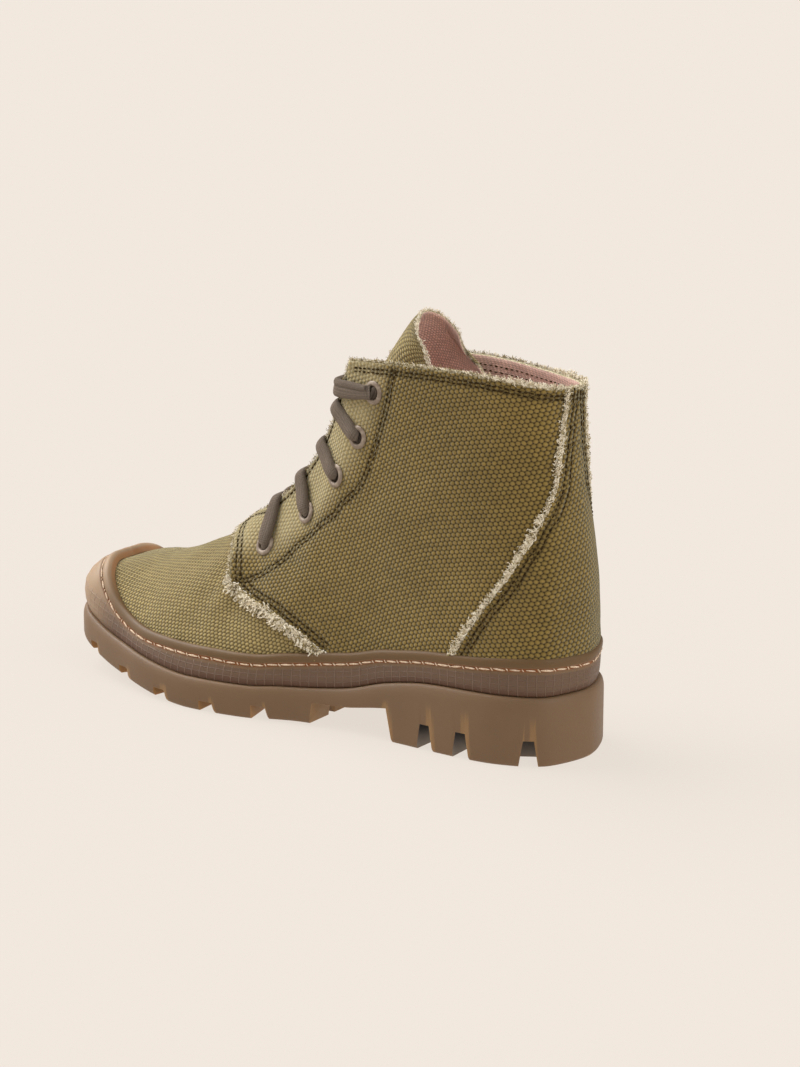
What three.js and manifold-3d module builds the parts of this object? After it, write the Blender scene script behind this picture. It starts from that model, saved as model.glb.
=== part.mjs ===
// Canvas ankle boot for the left foot, standing empty on its lugged rubber sole.
// Lengths are millimetres. +X runs to the toe, +Y to the outer side and +Z up.
import * as THREE from 'three';
import { mergeVertices } from 'three/addons/utils/BufferGeometryUtils.js';
import Module from 'manifold-3d';

const wasm = await Module();
wasm.setup();

// Driving sizes of the sole
const SOLE_LENGTH = 290;
const BALL_WIDTH = 99.2;
const HEEL_WIDTH = 73.8;
const HEEL_HEIGHT = 32;
const FOREFOOT_HEIGHT = 15.2;
const TOE_SPRING = 15.3;
const SLAB_THICKNESS = 10.4;
const RIM_ROUNDING = 6;
const TREAD_CHAMFER = 1.2;
const GAP_WIDTH = 7.2;
const GAP_SLANT = 3.2;
const GAP_REACH = 24;
const CHANNEL_WIDTH = 5;
const NOTCH_HEIGHT = 12.4;
const NOTCH_WIDTH = 5;
const NOTCH_FLARE = 2;
const NOTCH_REACH = 15;
const BREAST_SLANT = 3;
const CUT_DEPTH = 8;
const CUT_BEYOND = 6;

// Driving sizes of the upper
const COLLAR_HEIGHT = 176.5;
const COLLAR_WIDTH = 54.5;
const INSTEP_HEIGHT = 87;
const TOE_BOX_HEIGHT = 58.6;
const UPPER_WALL = 1.8;
const PANEL_THICKNESS = 1.0;
const COUNTER_THICKNESS = 1.7;
const TONGUE_THICKNESS = 2.2;
const TONGUE_RISE = 108;
const INSOLE_THICKNESS = 4;

// Driving sizes of the sidewall band. Its height up the wall is BAND_HEIGHT at the toe's tip.
const BAND_HEIGHT = 28;
const BAND_INSET = 2.2;
const BAND_THICKNESS = 2;
const LIP_THICKNESS = 2.9;
const BUMPER_THICKNESS = 5.4;
const TOE_LIP_THICKNESS = 5.2;
const GROOVE_DEPTH = 0.9;
const GROOVE_WIDTH = 2;
const LIP_WIDTH = 5.4;

// Driving sizes of the fastening
const EYELET_OUTER = 11;
const EYELET_HOLE = 6.2;
const EYELET_FLANGE = 0.9;
const EYELET_TUBE = 0.5;
const LACE_WIDTH = 7.4;
const LACE_THICKNESS = 3.4;

// Clearances between neighbouring pieces
const CLEARANCE = 0.3;
const FOOT_INSET = BAND_INSET + BAND_THICKNESS + CLEARANCE;

// How finely each piece is faceted
const COLLAR_STEPS = 10;
const THROAT_STEPS = 6;
const VAMP_STEPS = 12;
const BAND_ROWS = 3;
const WALL_ROWS = 10;
const EYELET_SIDES = 9;
const TONGUE_ROWS = 15;
const TONGUE_COLUMNS = 10;
const LACE_SIDES = 6;
const LACE_STEPS = 6;

// Turns a heading and rows of numbers into rows with named columns
function table(columns, rows) {
  return rows.map((row) => Object.fromEntries(columns.map((name, k) => [name, row[k]])));
}

// Stations round the sole from the middle of the heel to the tip of the toe.
// along is a share of SOLE_LENGTH, outer and inner are shares of the sole's width there.
const OUTLINE = table(['along', 'outer', 'inner'], [
  [0.000, 0.000, 0.000],
  [0.020, 0.275, 0.275],
  [0.050, 0.397, 0.397],
  [0.100, 0.474, 0.474],
  [0.150, 0.500, 0.500],
  [0.214, 0.499, 0.490],
  [0.283, 0.465, 0.433],
  [0.352, 0.420, 0.375],
  [0.421, 0.401, 0.350],
  [0.483, 0.408, 0.362],
  [0.534, 0.437, 0.404],
  [0.586, 0.469, 0.454],
  [0.638, 0.486, 0.494],
  [0.690, 0.486, 0.514],
  [0.741, 0.470, 0.514],
  [0.793, 0.433, 0.489],
  [0.841, 0.383, 0.444],
  [0.886, 0.334, 0.378],
  [0.928, 0.278, 0.300],
  [0.964, 0.216, 0.212],
  [0.990, 0.126, 0.124],
  [1.000, 0.000, 0.000],
]);
const LAST = OUTLINE.length - 1;
const RING = 2 * LAST;

// Side profile of the sole. spring lifts the tread as a share of TOE_SPRING, heel adds
// a share of the heel's extra height to the ledge, slab is the web's share of SLAB_THICKNESS.
const PROFILE = table(['along', 'spring', 'heel', 'slab'], [
  [0.00, 0.00, 1.00, 1.20],
  [0.22, 0.00, 0.97, 1.20],
  [0.31, 0.00, 0.72, 1.10],
  [0.38, 0.00, 0.36, 0.85],
  [0.45, 0.08, 0.10, 0.65],
  [0.52, 0.05, 0.03, 0.82],
  [0.56, 0.00, 0.01, 0.92],
  [0.68, 0.00, 0.00, 1.00],
  [0.75, 0.12, 0.00, 1.00],
  [0.83, 0.34, 0.00, 1.00],
  [0.90, 0.57, 0.01, 1.00],
  [1.00, 1.00, 0.03, 1.00],
]);

// Topline from the back seam along the collar to the throat's bottom, a row per station.
// along is a share of SOLE_LENGTH, outer and inner of COLLAR_WIDTH, the two heights are
// shares of the way from INSTEP_HEIGHT up to COLLAR_HEIGHT.
const TOPLINE = table(['along', 'outer', 'inner', 'outerHeight', 'innerHeight'], [
  [0.038, 0.000, 0.000, 0.933, 0.933],
  [0.048, 0.211, 0.211, 0.944, 0.916],
  [0.071, 0.339, 0.339, 0.959, 0.912],
  [0.114, 0.431, 0.440, 0.980, 0.916],
  [0.159, 0.468, 0.495, 0.994, 0.927],
  [0.214, 0.477, 0.523, 1.000, 0.944],
  [0.276, 0.464, 0.514, 0.997, 0.955],
  [0.338, 0.422, 0.413, 0.987, 0.955],
  [0.412, 0.336, 0.257, 0.965, 0.944],
  [0.433, 0.294, 0.239, 0.782, 0.771],
  [0.469, 0.242, 0.211, 0.525, 0.514],
  [0.521, 0.187, 0.180, 0.296, 0.291],
  [0.586, 0.128, 0.132, 0.106, 0.106],
  [0.643, 0.000, 0.000, 0.000, 0.000],
]);
const CORNER = 8;
const THROAT = TOPLINE.length - 1;

// Ridge of the vamp from the throat's bottom to the toe, a row per station.
// along is a share of SOLE_LENGTH, aside of BALL_WIDTH towards the inner side,
// height a share of the way from TOE_BOX_HEIGHT up to INSTEP_HEIGHT.
const RIDGE = table(['along', 'aside', 'height'], [
  [0.643, 0.000, 1.000],
  [0.693, 0.010, 0.613],
  [0.738, 0.030, 0.384],
  [0.779, 0.050, 0.180],
  [0.817, 0.071, 0.049],
  [0.848, 0.081, 0.000],
  [0.872, 0.086, -0.046],
  [0.891, 0.086, -0.099],
  [0.905, 0.086, -0.151],
]);

// Walls of the upper, a row per station. tilt is the wall's angle from level at its top and
// lean its angle from upright at its foot, in degrees. reach and rise are shares of the
// wall's span. outerBand and innerBand are shares of BAND_HEIGHT.
const WALL = table(['tilt', 'reach', 'lean', 'rise', 'outerBand', 'innerBand'], [
  [94.0, 0.33, -6, 0.345, 0.629, 0.629],
  [93.5, 0.33, -5, 0.340, 0.650, 0.650],
  [93.0, 0.33, -3, 0.330, 0.650, 0.650],
  [92.0, 0.33, 0, 0.330, 0.621, 0.621],
  [91.0, 0.33, 1, 0.330, 0.579, 0.579],
  [90.0, 0.33, 1, 0.330, 0.543, 0.543],
  [89.0, 0.33, 1, 0.330, 0.543, 0.543],
  [88.0, 0.33, 2, 0.330, 0.586, 0.586],
  [87.0, 0.33, 3, 0.300, 0.600, 0.600],
  [86.0, 0.33, 6, 0.280, 0.568, 0.568],
  [84.0, 0.33, 10, 0.270, 0.536, 0.536],
  [78.0, 0.33, 13, 0.270, 0.521, 0.521],
  [68.0, 0.33, 15, 0.280, 0.525, 0.525],
  [25.0, 0.22, 16, 0.300, 0.518, 0.518],
  [0.0, 0.24, 15, 0.330, 0.486, 0.486],
  [0.0, 0.30, 14, 0.360, 0.446, 0.482],
  [0.0, 0.34, 13, 0.380, 0.464, 0.554],
  [0.0, 0.37, 11, 0.400, 0.568, 0.714],
  [0.0, 0.40, 8, 0.420, 0.743, 0.893],
  [0.0, 0.42, 5, 0.440, 0.929, 1.018],
  [0.0, 0.44, 2, 0.450, 1.000, 1.036],
  [0.0, 0.45, 0, 0.460, 1.000, 1.000],
]);

// Front edge of the quarters in side view, from the ridge down to the band.
// along is a share of SOLE_LENGTH and height of COLLAR_HEIGHT.
const QUARTER_FRONT = table(['along', 'height'], [
  [0.700, 0.600],
  [0.681, 0.470],
  [0.671, 0.440],
  [0.656, 0.408],
  [0.648, 0.374],
  [0.638, 0.329],
  [0.597, 0.300],
  [0.538, 0.278],
  [0.486, 0.238],
  [0.441, 0.198],
  [0.390, 0.140],
]);

// Front edge of the heel counter in side view, from the collar down to the band
const COUNTER_FRONT = table(['along', 'height'], [
  [0.038, 1.100],
  [0.042, 0.963],
  [0.045, 0.890],
  [0.046, 0.816],
  [0.047, 0.714],
  [0.053, 0.660],
  [0.069, 0.583],
  [0.098, 0.490],
  [0.128, 0.420],
  [0.157, 0.345],
  [0.184, 0.272],
  [0.214, 0.180],
]);

// Eyelets of one side. station counts along the outline, up is a share of the wall.
const EYELETS = table(['station', 'up'], [
  [7.25, 0.906],
  [7.65, 0.769],
  [8.60, 0.688],
  [10.45, 0.755],
  [11.90, 0.754],
]);

// Tongue from its foot under the vamp to its rounded top. along is a share of SOLE_LENGTH,
// height a share of TONGUE_RISE above INSTEP_HEIGHT. The rest are shares of COLLAR_WIDTH:
// the radius of its curl, half of its width round the curl, how far it lies towards the
// inner side, and how far it is turned round towards that side.
const TONGUE = table(['along', 'height', 'radius', 'half', 'aside', 'turn'], [
  [0.674, -0.115, 0.110, 0.150, 0.000, 0.000],
  [0.640, -0.055, 0.110, 0.190, 0.000, 0.000],
  [0.578, 0.042, 0.120, 0.290, 0.000, 0.000],
  [0.512, 0.198, 0.140, 0.400, 0.000, 0.000],
  [0.456, 0.395, 0.165, 0.540, 0.000, 0.010],
  [0.412, 0.590, 0.200, 0.720, 0.020, 0.050],
  [0.381, 0.775, 0.250, 0.880, 0.045, 0.120],
  [0.357, 0.885, 0.255, 0.810, 0.055, 0.170],
  [0.337, 0.960, 0.235, 0.580, 0.060, 0.165],
  [0.322, 1.000, 0.210, 0.270, 0.060, 0.140],
]);

// Places of the tread's cuts, as shares of SOLE_LENGTH
const LUG_GAPS = [0.540, 0.636, 0.736, 0.833, 0.926];
const HEEL_NOTCHES = [0.231, 0.163, 0.053];
const CHANNEL_PLACES = [0.40, 0.48, 0.56, 0.64, 0.72, 0.79, 0.85];
const HEEL_BREAST = 0.300;
const WAIST_END = 0.447;

// Stretch of the sole over which the band swells into the toe bumper
const BUMPER_FROM = 0.84;
const BUMPER_FULL = 0.97;

// Stations of the throat's edge that lie level with the eyelets, from the top one down
const LACE_PLACES = [8.9, 9.75, 10.6, 11.5, 12.35];

// Blends four neighbouring values smoothly, t runs from the second to the third
function blend(a, b, c, d, t) {
  const linear = c - a;
  const square = 2 * a - 5 * b + 4 * c - d;
  const cube = 3 * b - a - 3 * c + d;
  return 0.5 * (2 * b + linear * t + square * t * t + cube * t * t * t);
}

// Reads a list at a real-numbered place, with its ends carried on
function readList(list, place) {
  const last = list.length - 1;
  const at = THREE.MathUtils.clamp(place, 0, last);
  const k = Math.min(Math.floor(at), last - 1);
  const before = k > 0 ? list[k - 1] : 2 * list[0] - list[1];
  const after = k + 2 <= last ? list[k + 2] : 2 * list[last] - list[last - 1];
  return blend(before, list[k], list[k + 1], after, at - k);
}

// Reads a closed ring of values at a real-numbered place
function readRing(ring, place) {
  const n = ring.length;
  const k = Math.floor(place);
  const pick = (i) => ring[(((k + i) % n) + n) % n];
  return blend(pick(-1), pick(0), pick(1), pick(2), place - k);
}

// Reads a column of rows that are spaced by their share along the sole
function readProfile(column, along) {
  const at = THREE.MathUtils.clamp(along, 0, 1);
  let k = 0;
  while (k < PROFILE.length - 2 && PROFILE[k + 1].along < at) k += 1;
  const slope = (i) => {
    const a = PROFILE[Math.max(i - 1, 0)];
    const b = PROFILE[Math.min(i + 1, PROFILE.length - 1)];
    return (b[column] - a[column]) / (b.along - a.along);
  };
  const from = PROFILE[k];
  const to = PROFILE[k + 1];
  const span = to.along - from.along;
  const t = (at - from.along) / span;
  const h00 = (1 + 2 * t) * (1 - t) * (1 - t);
  const h10 = t * (1 - t) * (1 - t);
  const h01 = t * t * (3 - 2 * t);
  const h11 = t * t * (t - 1);
  return h00 * from[column] + h10 * span * slope(k) + h01 * to[column] + h11 * span * slope(k + 1);
}

// Puts the outer column and then the inner column, toe back to heel, into one ring
function ringOf(rows, outer, inner) {
  const back = rows.slice(1, LAST).reverse();
  return [...rows.map(outer), ...back.map(inner)];
}

const soleWidth = (along) => {
  const t = THREE.MathUtils.smoothstep(along, 0.2, 0.55);
  return THREE.MathUtils.lerp(HEEL_WIDTH, BALL_WIDTH, t);
};
const outlineX = ringOf(OUTLINE, (r) => r.along * SOLE_LENGTH, (r) => r.along * SOLE_LENGTH);
const outlineY = ringOf(
  OUTLINE,
  (r) => r.outer * soleWidth(r.along),
  (r) => -r.inner * soleWidth(r.along),
);
const wallTilt = ringOf(WALL, (r) => r.tilt, (r) => r.tilt);
const wallReach = ringOf(WALL, (r) => r.reach, (r) => r.reach);
const wallLean = ringOf(WALL, (r) => r.lean, (r) => r.lean);
const wallRise = ringOf(WALL, (r) => r.rise, (r) => r.rise);
const bandHeight = ringOf(
  WALL,
  (r) => r.outerBand * BAND_HEIGHT,
  (r) => r.innerBand * BAND_HEIGHT,
);

// Heights of the sole's side, by x
const treadZ = (x) => TOE_SPRING * Math.max(readProfile('spring', x / SOLE_LENGTH), 0);
const ledgeZ = (x) => {
  const extra = (HEEL_HEIGHT - FOREFOOT_HEIGHT) * readProfile('heel', x / SOLE_LENGTH);
  return treadZ(x) + FOREFOOT_HEIGHT + extra;
};
const webZ = (x) => ledgeZ(x) - SLAB_THICKNESS * readProfile('slab', x / SOLE_LENGTH);

// Outward direction of the sole's outline in plan
function outlineNormal(u) {
  const step = 0.01;
  const dx = readRing(outlineX, u + step) - readRing(outlineX, u - step);
  const dy = readRing(outlineY, u + step) - readRing(outlineY, u - step);
  return new THREE.Vector3(-dy, dx, 0).normalize();
}

// A point of the sole's outline, moved inwards by inset
function outlinePoint(u, inset = 0) {
  const point = new THREE.Vector3(readRing(outlineX, u), readRing(outlineY, u), 0);
  return point.addScaledVector(outlineNormal(u), -inset);
}

// Station counted from the heel, and whether a ring place lies on the outer side
const stationOf = (u) => {
  const at = ((u % RING) + RING) % RING;
  return { outer: at <= LAST, s: at <= LAST ? at : RING - at };
};

function ridgePoint(s) {
  const at = s - THROAT;
  return new THREE.Vector3(
    readList(RIDGE.map((r) => r.along), at) * SOLE_LENGTH,
    readList(RIDGE.map((r) => r.aside), at) * -BALL_WIDTH,
    THREE.MathUtils.lerp(TOE_BOX_HEIGHT, INSTEP_HEIGHT, readList(RIDGE.map((r) => r.height), at)),
  );
}

// Topline as x, y and z lists for one side, from the back seam on
function toplineSide(outer) {
  return {
    x: TOPLINE.map((r) => r.along * SOLE_LENGTH),
    y: TOPLINE.map((r) => (outer ? r.outer : -r.inner) * COLLAR_WIDTH),
    z: TOPLINE.map((r) => THREE.MathUtils.lerp(
      INSTEP_HEIGHT,
      COLLAR_HEIGHT,
      outer ? r.outerHeight : r.innerHeight,
    )),
  };
}
const OUTER_TOP = toplineSide(true);
const INNER_TOP = toplineSide(false);

// Top of the wall: the collar round the heel, then the throat's edge, then the ridge
function topPoint(u) {
  const { outer, s } = stationOf(u);
  if (s >= THROAT) return ridgePoint(s);
  const side = outer ? OUTER_TOP : INNER_TOP;
  if (s >= CORNER) {
    const read = (axis) => readList(side[axis].slice(CORNER), s - CORNER);
    return new THREE.Vector3(read('x'), read('y'), read('z'));
  }
  const collar = (axis) => {
    const back = INNER_TOP[axis].slice(1, CORNER + 1).reverse();
    return [...back, ...OUTER_TOP[axis].slice(0, CORNER + 1)];
  };
  const place = outer ? CORNER + s : CORNER - s;
  return new THREE.Vector3(
    readList(collar('x'), place),
    readList(collar('y'), place),
    readList(collar('z'), place),
  );
}

// Slope of the ridge, which the vamp follows where it runs over the toe
function ridgeSlope(s) {
  const step = 0.05;
  const a = ridgePoint(Math.min(s + step, LAST));
  const b = ridgePoint(Math.max(s - step, THROAT));
  return (a.z - b.z) / (a.x - b.x);
}

// One upright section of the upper, from its foot on the sole to the topline
function wallCurve(u) {
  const out = outlineNormal(u);
  const foot = outlinePoint(u, FOOT_INSET);
  foot.z = ledgeZ(foot.x) + CLEARANCE;
  const top = topPoint(u);
  const span = foot.distanceTo(top);
  const { s } = stationOf(u);
  const slope = s >= THROAT ? ridgeSlope(s) : 0;
  const tilt = THREE.MathUtils.degToRad(readRing(wallTilt, u));
  const lean = THREE.MathUtils.degToRad(readRing(wallLean, u));
  const level = new THREE.Vector3(out.x, out.y, slope * out.x).normalize();
  const away = level.multiplyScalar(Math.cos(tilt)).add(new THREE.Vector3(0, 0, -Math.sin(tilt)));
  const upright = out.clone().multiplyScalar(-Math.sin(lean)).setZ(Math.cos(lean));
  const low = foot.clone().addScaledVector(upright, readRing(wallRise, u) * span);
  const high = top.clone().addScaledVector(away, readRing(wallReach, u) * span);
  return new THREE.CubicBezierCurve3(foot, low, high, top);
}

// Places round the boot at which every shell has its edges
function sidePlaces() {
  const places = [];
  const run = (from, to, steps) => {
    for (let i = 0; i < steps; i += 1) places.push(from + ((to - from) * i) / steps);
  };
  run(0, CORNER, COLLAR_STEPS);
  run(CORNER, THROAT, THROAT_STEPS);
  run(THROAT, LAST, VAMP_STEPS);
  places.push(LAST);
  return places;
}
const SIDE_PLACES = sidePlaces();
const HALF = SIDE_PLACES.length - 1;
const PLACES = [...SIDE_PLACES, ...SIDE_PLACES.slice(1, HALF).reverse().map((s) => RING - s)];
const COUNT = PLACES.length;
const THROAT_INDEX = COLLAR_STEPS + THROAT_STEPS;

// Collects vertices and faces of a closed body
class Body {
  constructor() {
    this.points = [];
    this.faces = [];
  }

  add(point) {
    this.points.push(point.x, point.y, point.z);
    return this.points.length / 3 - 1;
  }

  triangle(a, b, c) {
    if (a !== b && b !== c && c !== a) this.faces.push(a, b, c);
  }

  quad(a, b, c, d) {
    this.triangle(a, b, c);
    this.triangle(a, c, d);
  }

  // Gives the geometry with its faces pointing out
  geometry() {
    const at = (i) => new THREE.Vector3().fromArray(this.points, 3 * i);
    let volume = 0;
    for (let f = 0; f < this.faces.length; f += 3) {
      const [a, b, c] = [at(this.faces[f]), at(this.faces[f + 1]), at(this.faces[f + 2])];
      volume += a.dot(b.cross(c));
    }
    if (volume < 0) this.faces.reverse();
    const geometry = new THREE.BufferGeometry();
    geometry.setAttribute('position', new THREE.Float32BufferAttribute(this.points, 3));
    geometry.setIndex(this.faces);
    return geometry;
  }
}

// Joining and cutting of closed bodies
function toSolid(geometry) {
  const bare = geometry.clone();
  bare.deleteAttribute('normal');
  bare.deleteAttribute('uv');
  const merged = mergeVertices(bare, 1e-4);
  return new wasm.Manifold(new wasm.Mesh({
    numProp: 3,
    vertProperties: new Float32Array(merged.getAttribute('position').array),
    triVerts: new Uint32Array(merged.index.array),
  }));
}

function toGeometry(solid) {
  const mesh = solid.getMesh();
  const geometry = new THREE.BufferGeometry();
  geometry.setAttribute('position', new THREE.BufferAttribute(mesh.vertProperties, 3));
  geometry.setIndex(new THREE.BufferAttribute(mesh.triVerts, 1));
  return geometry;
}

function cut(solid, tools) {
  return tools.reduce((rest, tool) => rest.subtract(toSolid(tool)), solid);
}

// Closed body of rings of points laid on each other, with flat or ruled ends.
// Each ring runs round the sole, and its ends are ruled from side to side.
function stackRings(rings) {
  const body = new Body();
  const index = rings.map((ring) => ring.map((point) => body.add(point)));
  for (let k = 0; k < rings.length - 1; k += 1) {
    for (let i = 0; i < COUNT; i += 1) {
      const j = (i + 1) % COUNT;
      body.quad(index[k][i], index[k][j], index[k + 1][j], index[k + 1][i]);
    }
  }
  const lid = (ring, up) => {
    for (let i = 0; i < HALF; i += 1) {
      const across = (n) => ring[(COUNT - n) % COUNT];
      const corners = [ring[i], ring[i + 1], across(i + 1), across(i)];
      if (up) corners.reverse();
      body.quad(...corners);
    }
  };
  lid(index[0], true);
  lid(index[rings.length - 1], false);
  return body.geometry();
}

function soleRing(inset, height) {
  return PLACES.map((u) => {
    const point = outlinePoint(u, inset);
    return point.setZ(height(point.x));
  });
}

// Closed body of four-cornered sections, each joined to the next
function trough(sections) {
  const body = new Body();
  const index = sections.map((corners) => corners.map((point) => body.add(point)));
  for (let k = 0; k < index.length - 1; k += 1) {
    for (let i = 0; i < 4; i += 1) {
      const j = (i + 1) % 4;
      body.quad(index[k][i], index[k][j], index[k + 1][j], index[k + 1][i]);
    }
  }
  body.quad(...[...index[0]].reverse());
  body.quad(...index[index.length - 1]);
  return body.geometry();
}

// A cut up into the tread along a path. left and right are its half widths beside the path,
// each at the cut's top and at its foot below the floor.
function treadCut(path, left, right, topZ) {
  return trough(path.map((point, k) => {
    const before = path[Math.max(k - 1, 0)];
    const after = path[Math.min(k + 1, path.length - 1)];
    const ahead = new THREE.Vector2().subVectors(after, before).normalize();
    const put = (reach, z) => new THREE.Vector3(
      point.x - ahead.y * reach,
      point.y + ahead.x * reach,
      z,
    );
    const top = topZ(point.x);
    return [
      put(left.top, top),
      put(-right.top, top),
      put(-right.foot, -CUT_DEPTH),
      put(left.foot, -CUT_DEPTH),
    ];
  }));
}

// Ring place on one side at which the outline has a given share along the sole
function placeAt(along, outer) {
  let low = 0;
  let high = LAST;
  for (let i = 0; i < 30; i += 1) {
    const middle = (low + high) / 2;
    if (readRing(outlineX, middle) < along * SOLE_LENGTH) low = middle;
    else high = middle;
  }
  return outer ? low : RING - low;
}

const flat = (point) => new THREE.Vector2(point.x, point.y);

// Gaps between the edge lugs, straight on their toe side and shorter towards the toe
function lugGaps() {
  const shortest = 0.62 * GAP_REACH;
  const growth = 0.55 * BALL_WIDTH;
  const half = GAP_WIDTH / 2;
  return LUG_GAPS.map((along) => {
    const reach = Math.min(GAP_REACH, shortest + (1 - along) * growth);
    const outer = placeAt(along, true);
    const inner = placeAt(along, false);
    const path = [
      flat(outlinePoint(outer, -CUT_BEYOND)),
      flat(outlinePoint(outer, reach)),
      new THREE.Vector2(along * SOLE_LENGTH - GAP_SLANT, 0),
      flat(outlinePoint(inner, reach)),
      flat(outlinePoint(inner, -CUT_BEYOND)),
    ];
    const heelSide = { top: half, foot: half + 1.5 * GAP_SLANT };
    return treadCut(path, { top: half, foot: half }, heelSide, webZ);
  });
}

// Channels that part the edge lugs from the middle ones, halfway in from the edge
function lugChannels() {
  const half = CHANNEL_WIDTH / 2;
  const side = { top: half, foot: half };
  return [true, false].map((outer) => {
    const path = CHANNEL_PLACES.map((along) => {
      const edge = outlinePoint(placeAt(along, outer));
      return new THREE.Vector2(edge.x, edge.y / 2);
    });
    return treadCut(path, side, side, (x) => webZ(x) + CLEARANCE);
  });
}

// Notches in the heel's side that widen to the floor
function heelNotches() {
  const half = NOTCH_WIDTH / 2;
  const side = { top: half, foot: half + NOTCH_FLARE * (1 + CUT_DEPTH / NOTCH_HEIGHT) };
  return [true, false].flatMap((outer) => HEEL_NOTCHES.map((along) => {
    const u = placeAt(along, outer);
    const path = [flat(outlinePoint(u, -CUT_BEYOND)), flat(outlinePoint(u, NOTCH_REACH))];
    return treadCut(path, side, side, () => NOTCH_HEIGHT);
  }));
}

// Body with a given side view, reaching across from one y to another
function sideBlock(corners, fromY, toY) {
  const shape = new THREE.Shape(corners.map(([x, z]) => new THREE.Vector2(x, z)));
  const block = new THREE.ExtrudeGeometry(shape, { depth: toY - fromY, bevelEnabled: false });
  return block.rotateX(Math.PI / 2).translate(0, toY, 0);
}

// The arch between the heel's breast and the forefoot lugs
function waistGap() {
  const heel = HEEL_BREAST * SOLE_LENGTH;
  const end = WAIST_END * SOLE_LENGTH;
  const breast = heel + 0.7 * BREAST_SLANT;
  const middle = (heel + end) / 2;
  const corners = [
    [heel - BREAST_SLANT, -CUT_DEPTH],
    [breast, webZ(breast)],
    [middle, webZ(middle)],
    [end, webZ(end)],
    [end + BREAST_SLANT, -CUT_DEPTH],
  ];
  return sideBlock(corners, -BALL_WIDTH, BALL_WIDTH);
}

function outsole() {
  const rings = [
    soleRing(TREAD_CHAMFER, treadZ),
    soleRing(0, (x) => treadZ(x) + 2 * TREAD_CHAMFER),
    soleRing(0, (x) => ledgeZ(x) - RIM_ROUNDING),
    soleRing(0.3 * BAND_INSET, (x) => ledgeZ(x) - 0.35 * RIM_ROUNDING),
    soleRing(BAND_INSET, ledgeZ),
  ];
  const tools = [waistGap(), ...lugGaps(), ...lugChannels(), ...heelNotches()];
  return toGeometry(cut(toSolid(stackRings(rings)), tools));
}

// Board inside the upper, whose edge follows the inner face of the wall
function insole() {
  const ring = (rise) => PLACES.map((u) => {
    const curve = wallCurve(u);
    const point = curve.getPointAt(rise / curve.getLength());
    point.addScaledVector(outlineNormal(u), -UPPER_WALL - 2 * CLEARANCE);
    return point.setZ(ledgeZ(point.x) + CLEARANCE + rise);
  });
  return stackRings([ring(0), ring(INSOLE_THICKNESS)]);
}

// The upper's own surface, with its rows set out from the sole and the band's edge.
// The last band row lies just above the band, and the panels share the rows from there.
const WALLS = PLACES.map((u) => {
  const curve = wallCurve(u);
  const length = curve.getLength();
  const band = readRing(bandHeight, u);
  const start = band + CLEARANCE;
  const heights = [];
  for (let k = 0; k < BAND_ROWS; k += 1) heights.push((start * k) / BAND_ROWS);
  for (let k = 0; k <= WALL_ROWS - BAND_ROWS; k += 1) {
    heights.push(start + ((length - start) * k) / (WALL_ROWS - BAND_ROWS));
  }
  return { band, heights, points: heights.map((h) => curve.getPointAt(Math.min(h / length, 1))) };
});

// Past the throat the two sides' top rows are one ridge, so they share their points
const ridgeTwin = (i, row) => {
  const onRidge = row === WALL_ROWS && i > HALF && COUNT - i >= THROAT_INDEX;
  return onRidge ? COUNT - i : i;
};

// Outward directions at the grid's points, averaged over the faces that meet there
function surfaceNormals() {
  const normals = WALLS.map((wall) => wall.points.map(() => new THREE.Vector3()));
  const at = (i, row) => WALLS[ridgeTwin(i, row)].points[row];
  const give = (corners) => {
    const [a, b, c] = corners.map(([i, row]) => at(i, row));
    const face = new THREE.Vector3().subVectors(b, a).cross(new THREE.Vector3().subVectors(c, a));
    face.normalize();
    corners.forEach(([i, row]) => normals[ridgeTwin(i, row)][row].add(face));
  };
  for (let i = 0; i < COUNT; i += 1) {
    const j = (i + 1) % COUNT;
    for (let row = 0; row < WALL_ROWS; row += 1) {
      give([[i, row], [i, row + 1], [j, row + 1]]);
      give([[i, row], [j, row + 1], [j, row]]);
    }
  }
  normals.forEach((list) => list[0].setZ(0));
  return normals.map((list) => list.map((n) => n.normalize()));
}
const NORMALS = surfaceNormals();

// A point at an offset from the upper's surface, out from the boot when positive
function offsetPoint(i, row, offset) {
  const k = ridgeTwin(i, row);
  const point = WALLS[k].points[row].clone().addScaledVector(NORMALS[k][row], offset);
  return row === 0 ? point.setZ(ledgeZ(point.x) + CLEARANCE) : point;
}

// Closed shell between two offsets of the upper's surface, from one row to the topline
function coat(fromRow, inside, outside) {
  const body = new Body();
  const rows = [];
  for (let row = fromRow; row <= WALL_ROWS; row += 1) rows.push(row);
  const skin = (offset) => {
    const made = new Map();
    return PLACES.map((_, i) => rows.map((row) => {
      const key = `${ridgeTwin(i, row)},${row}`;
      if (!made.has(key)) made.set(key, body.add(offsetPoint(i, row, offset)));
      return made.get(key);
    }));
  };
  const outer = skin(outside);
  const inner = skin(inside);
  const top = rows.length - 1;
  for (let i = 0; i < COUNT; i += 1) {
    const j = (i + 1) % COUNT;
    for (let k = 0; k < top; k += 1) {
      body.quad(outer[i][k], outer[i][k + 1], outer[j][k + 1], outer[j][k]);
      body.quad(inner[i][k], inner[j][k], inner[j][k + 1], inner[i][k + 1]);
    }
    body.quad(outer[j][0], inner[j][0], inner[i][0], outer[i][0]);
    const open = i < THROAT_INDEX || j === 0 || i >= COUNT - THROAT_INDEX;
    if (open) body.quad(outer[i][top], inner[i][top], inner[j][top], outer[j][top]);
  }
  return toSolid(body.geometry());
}

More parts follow.
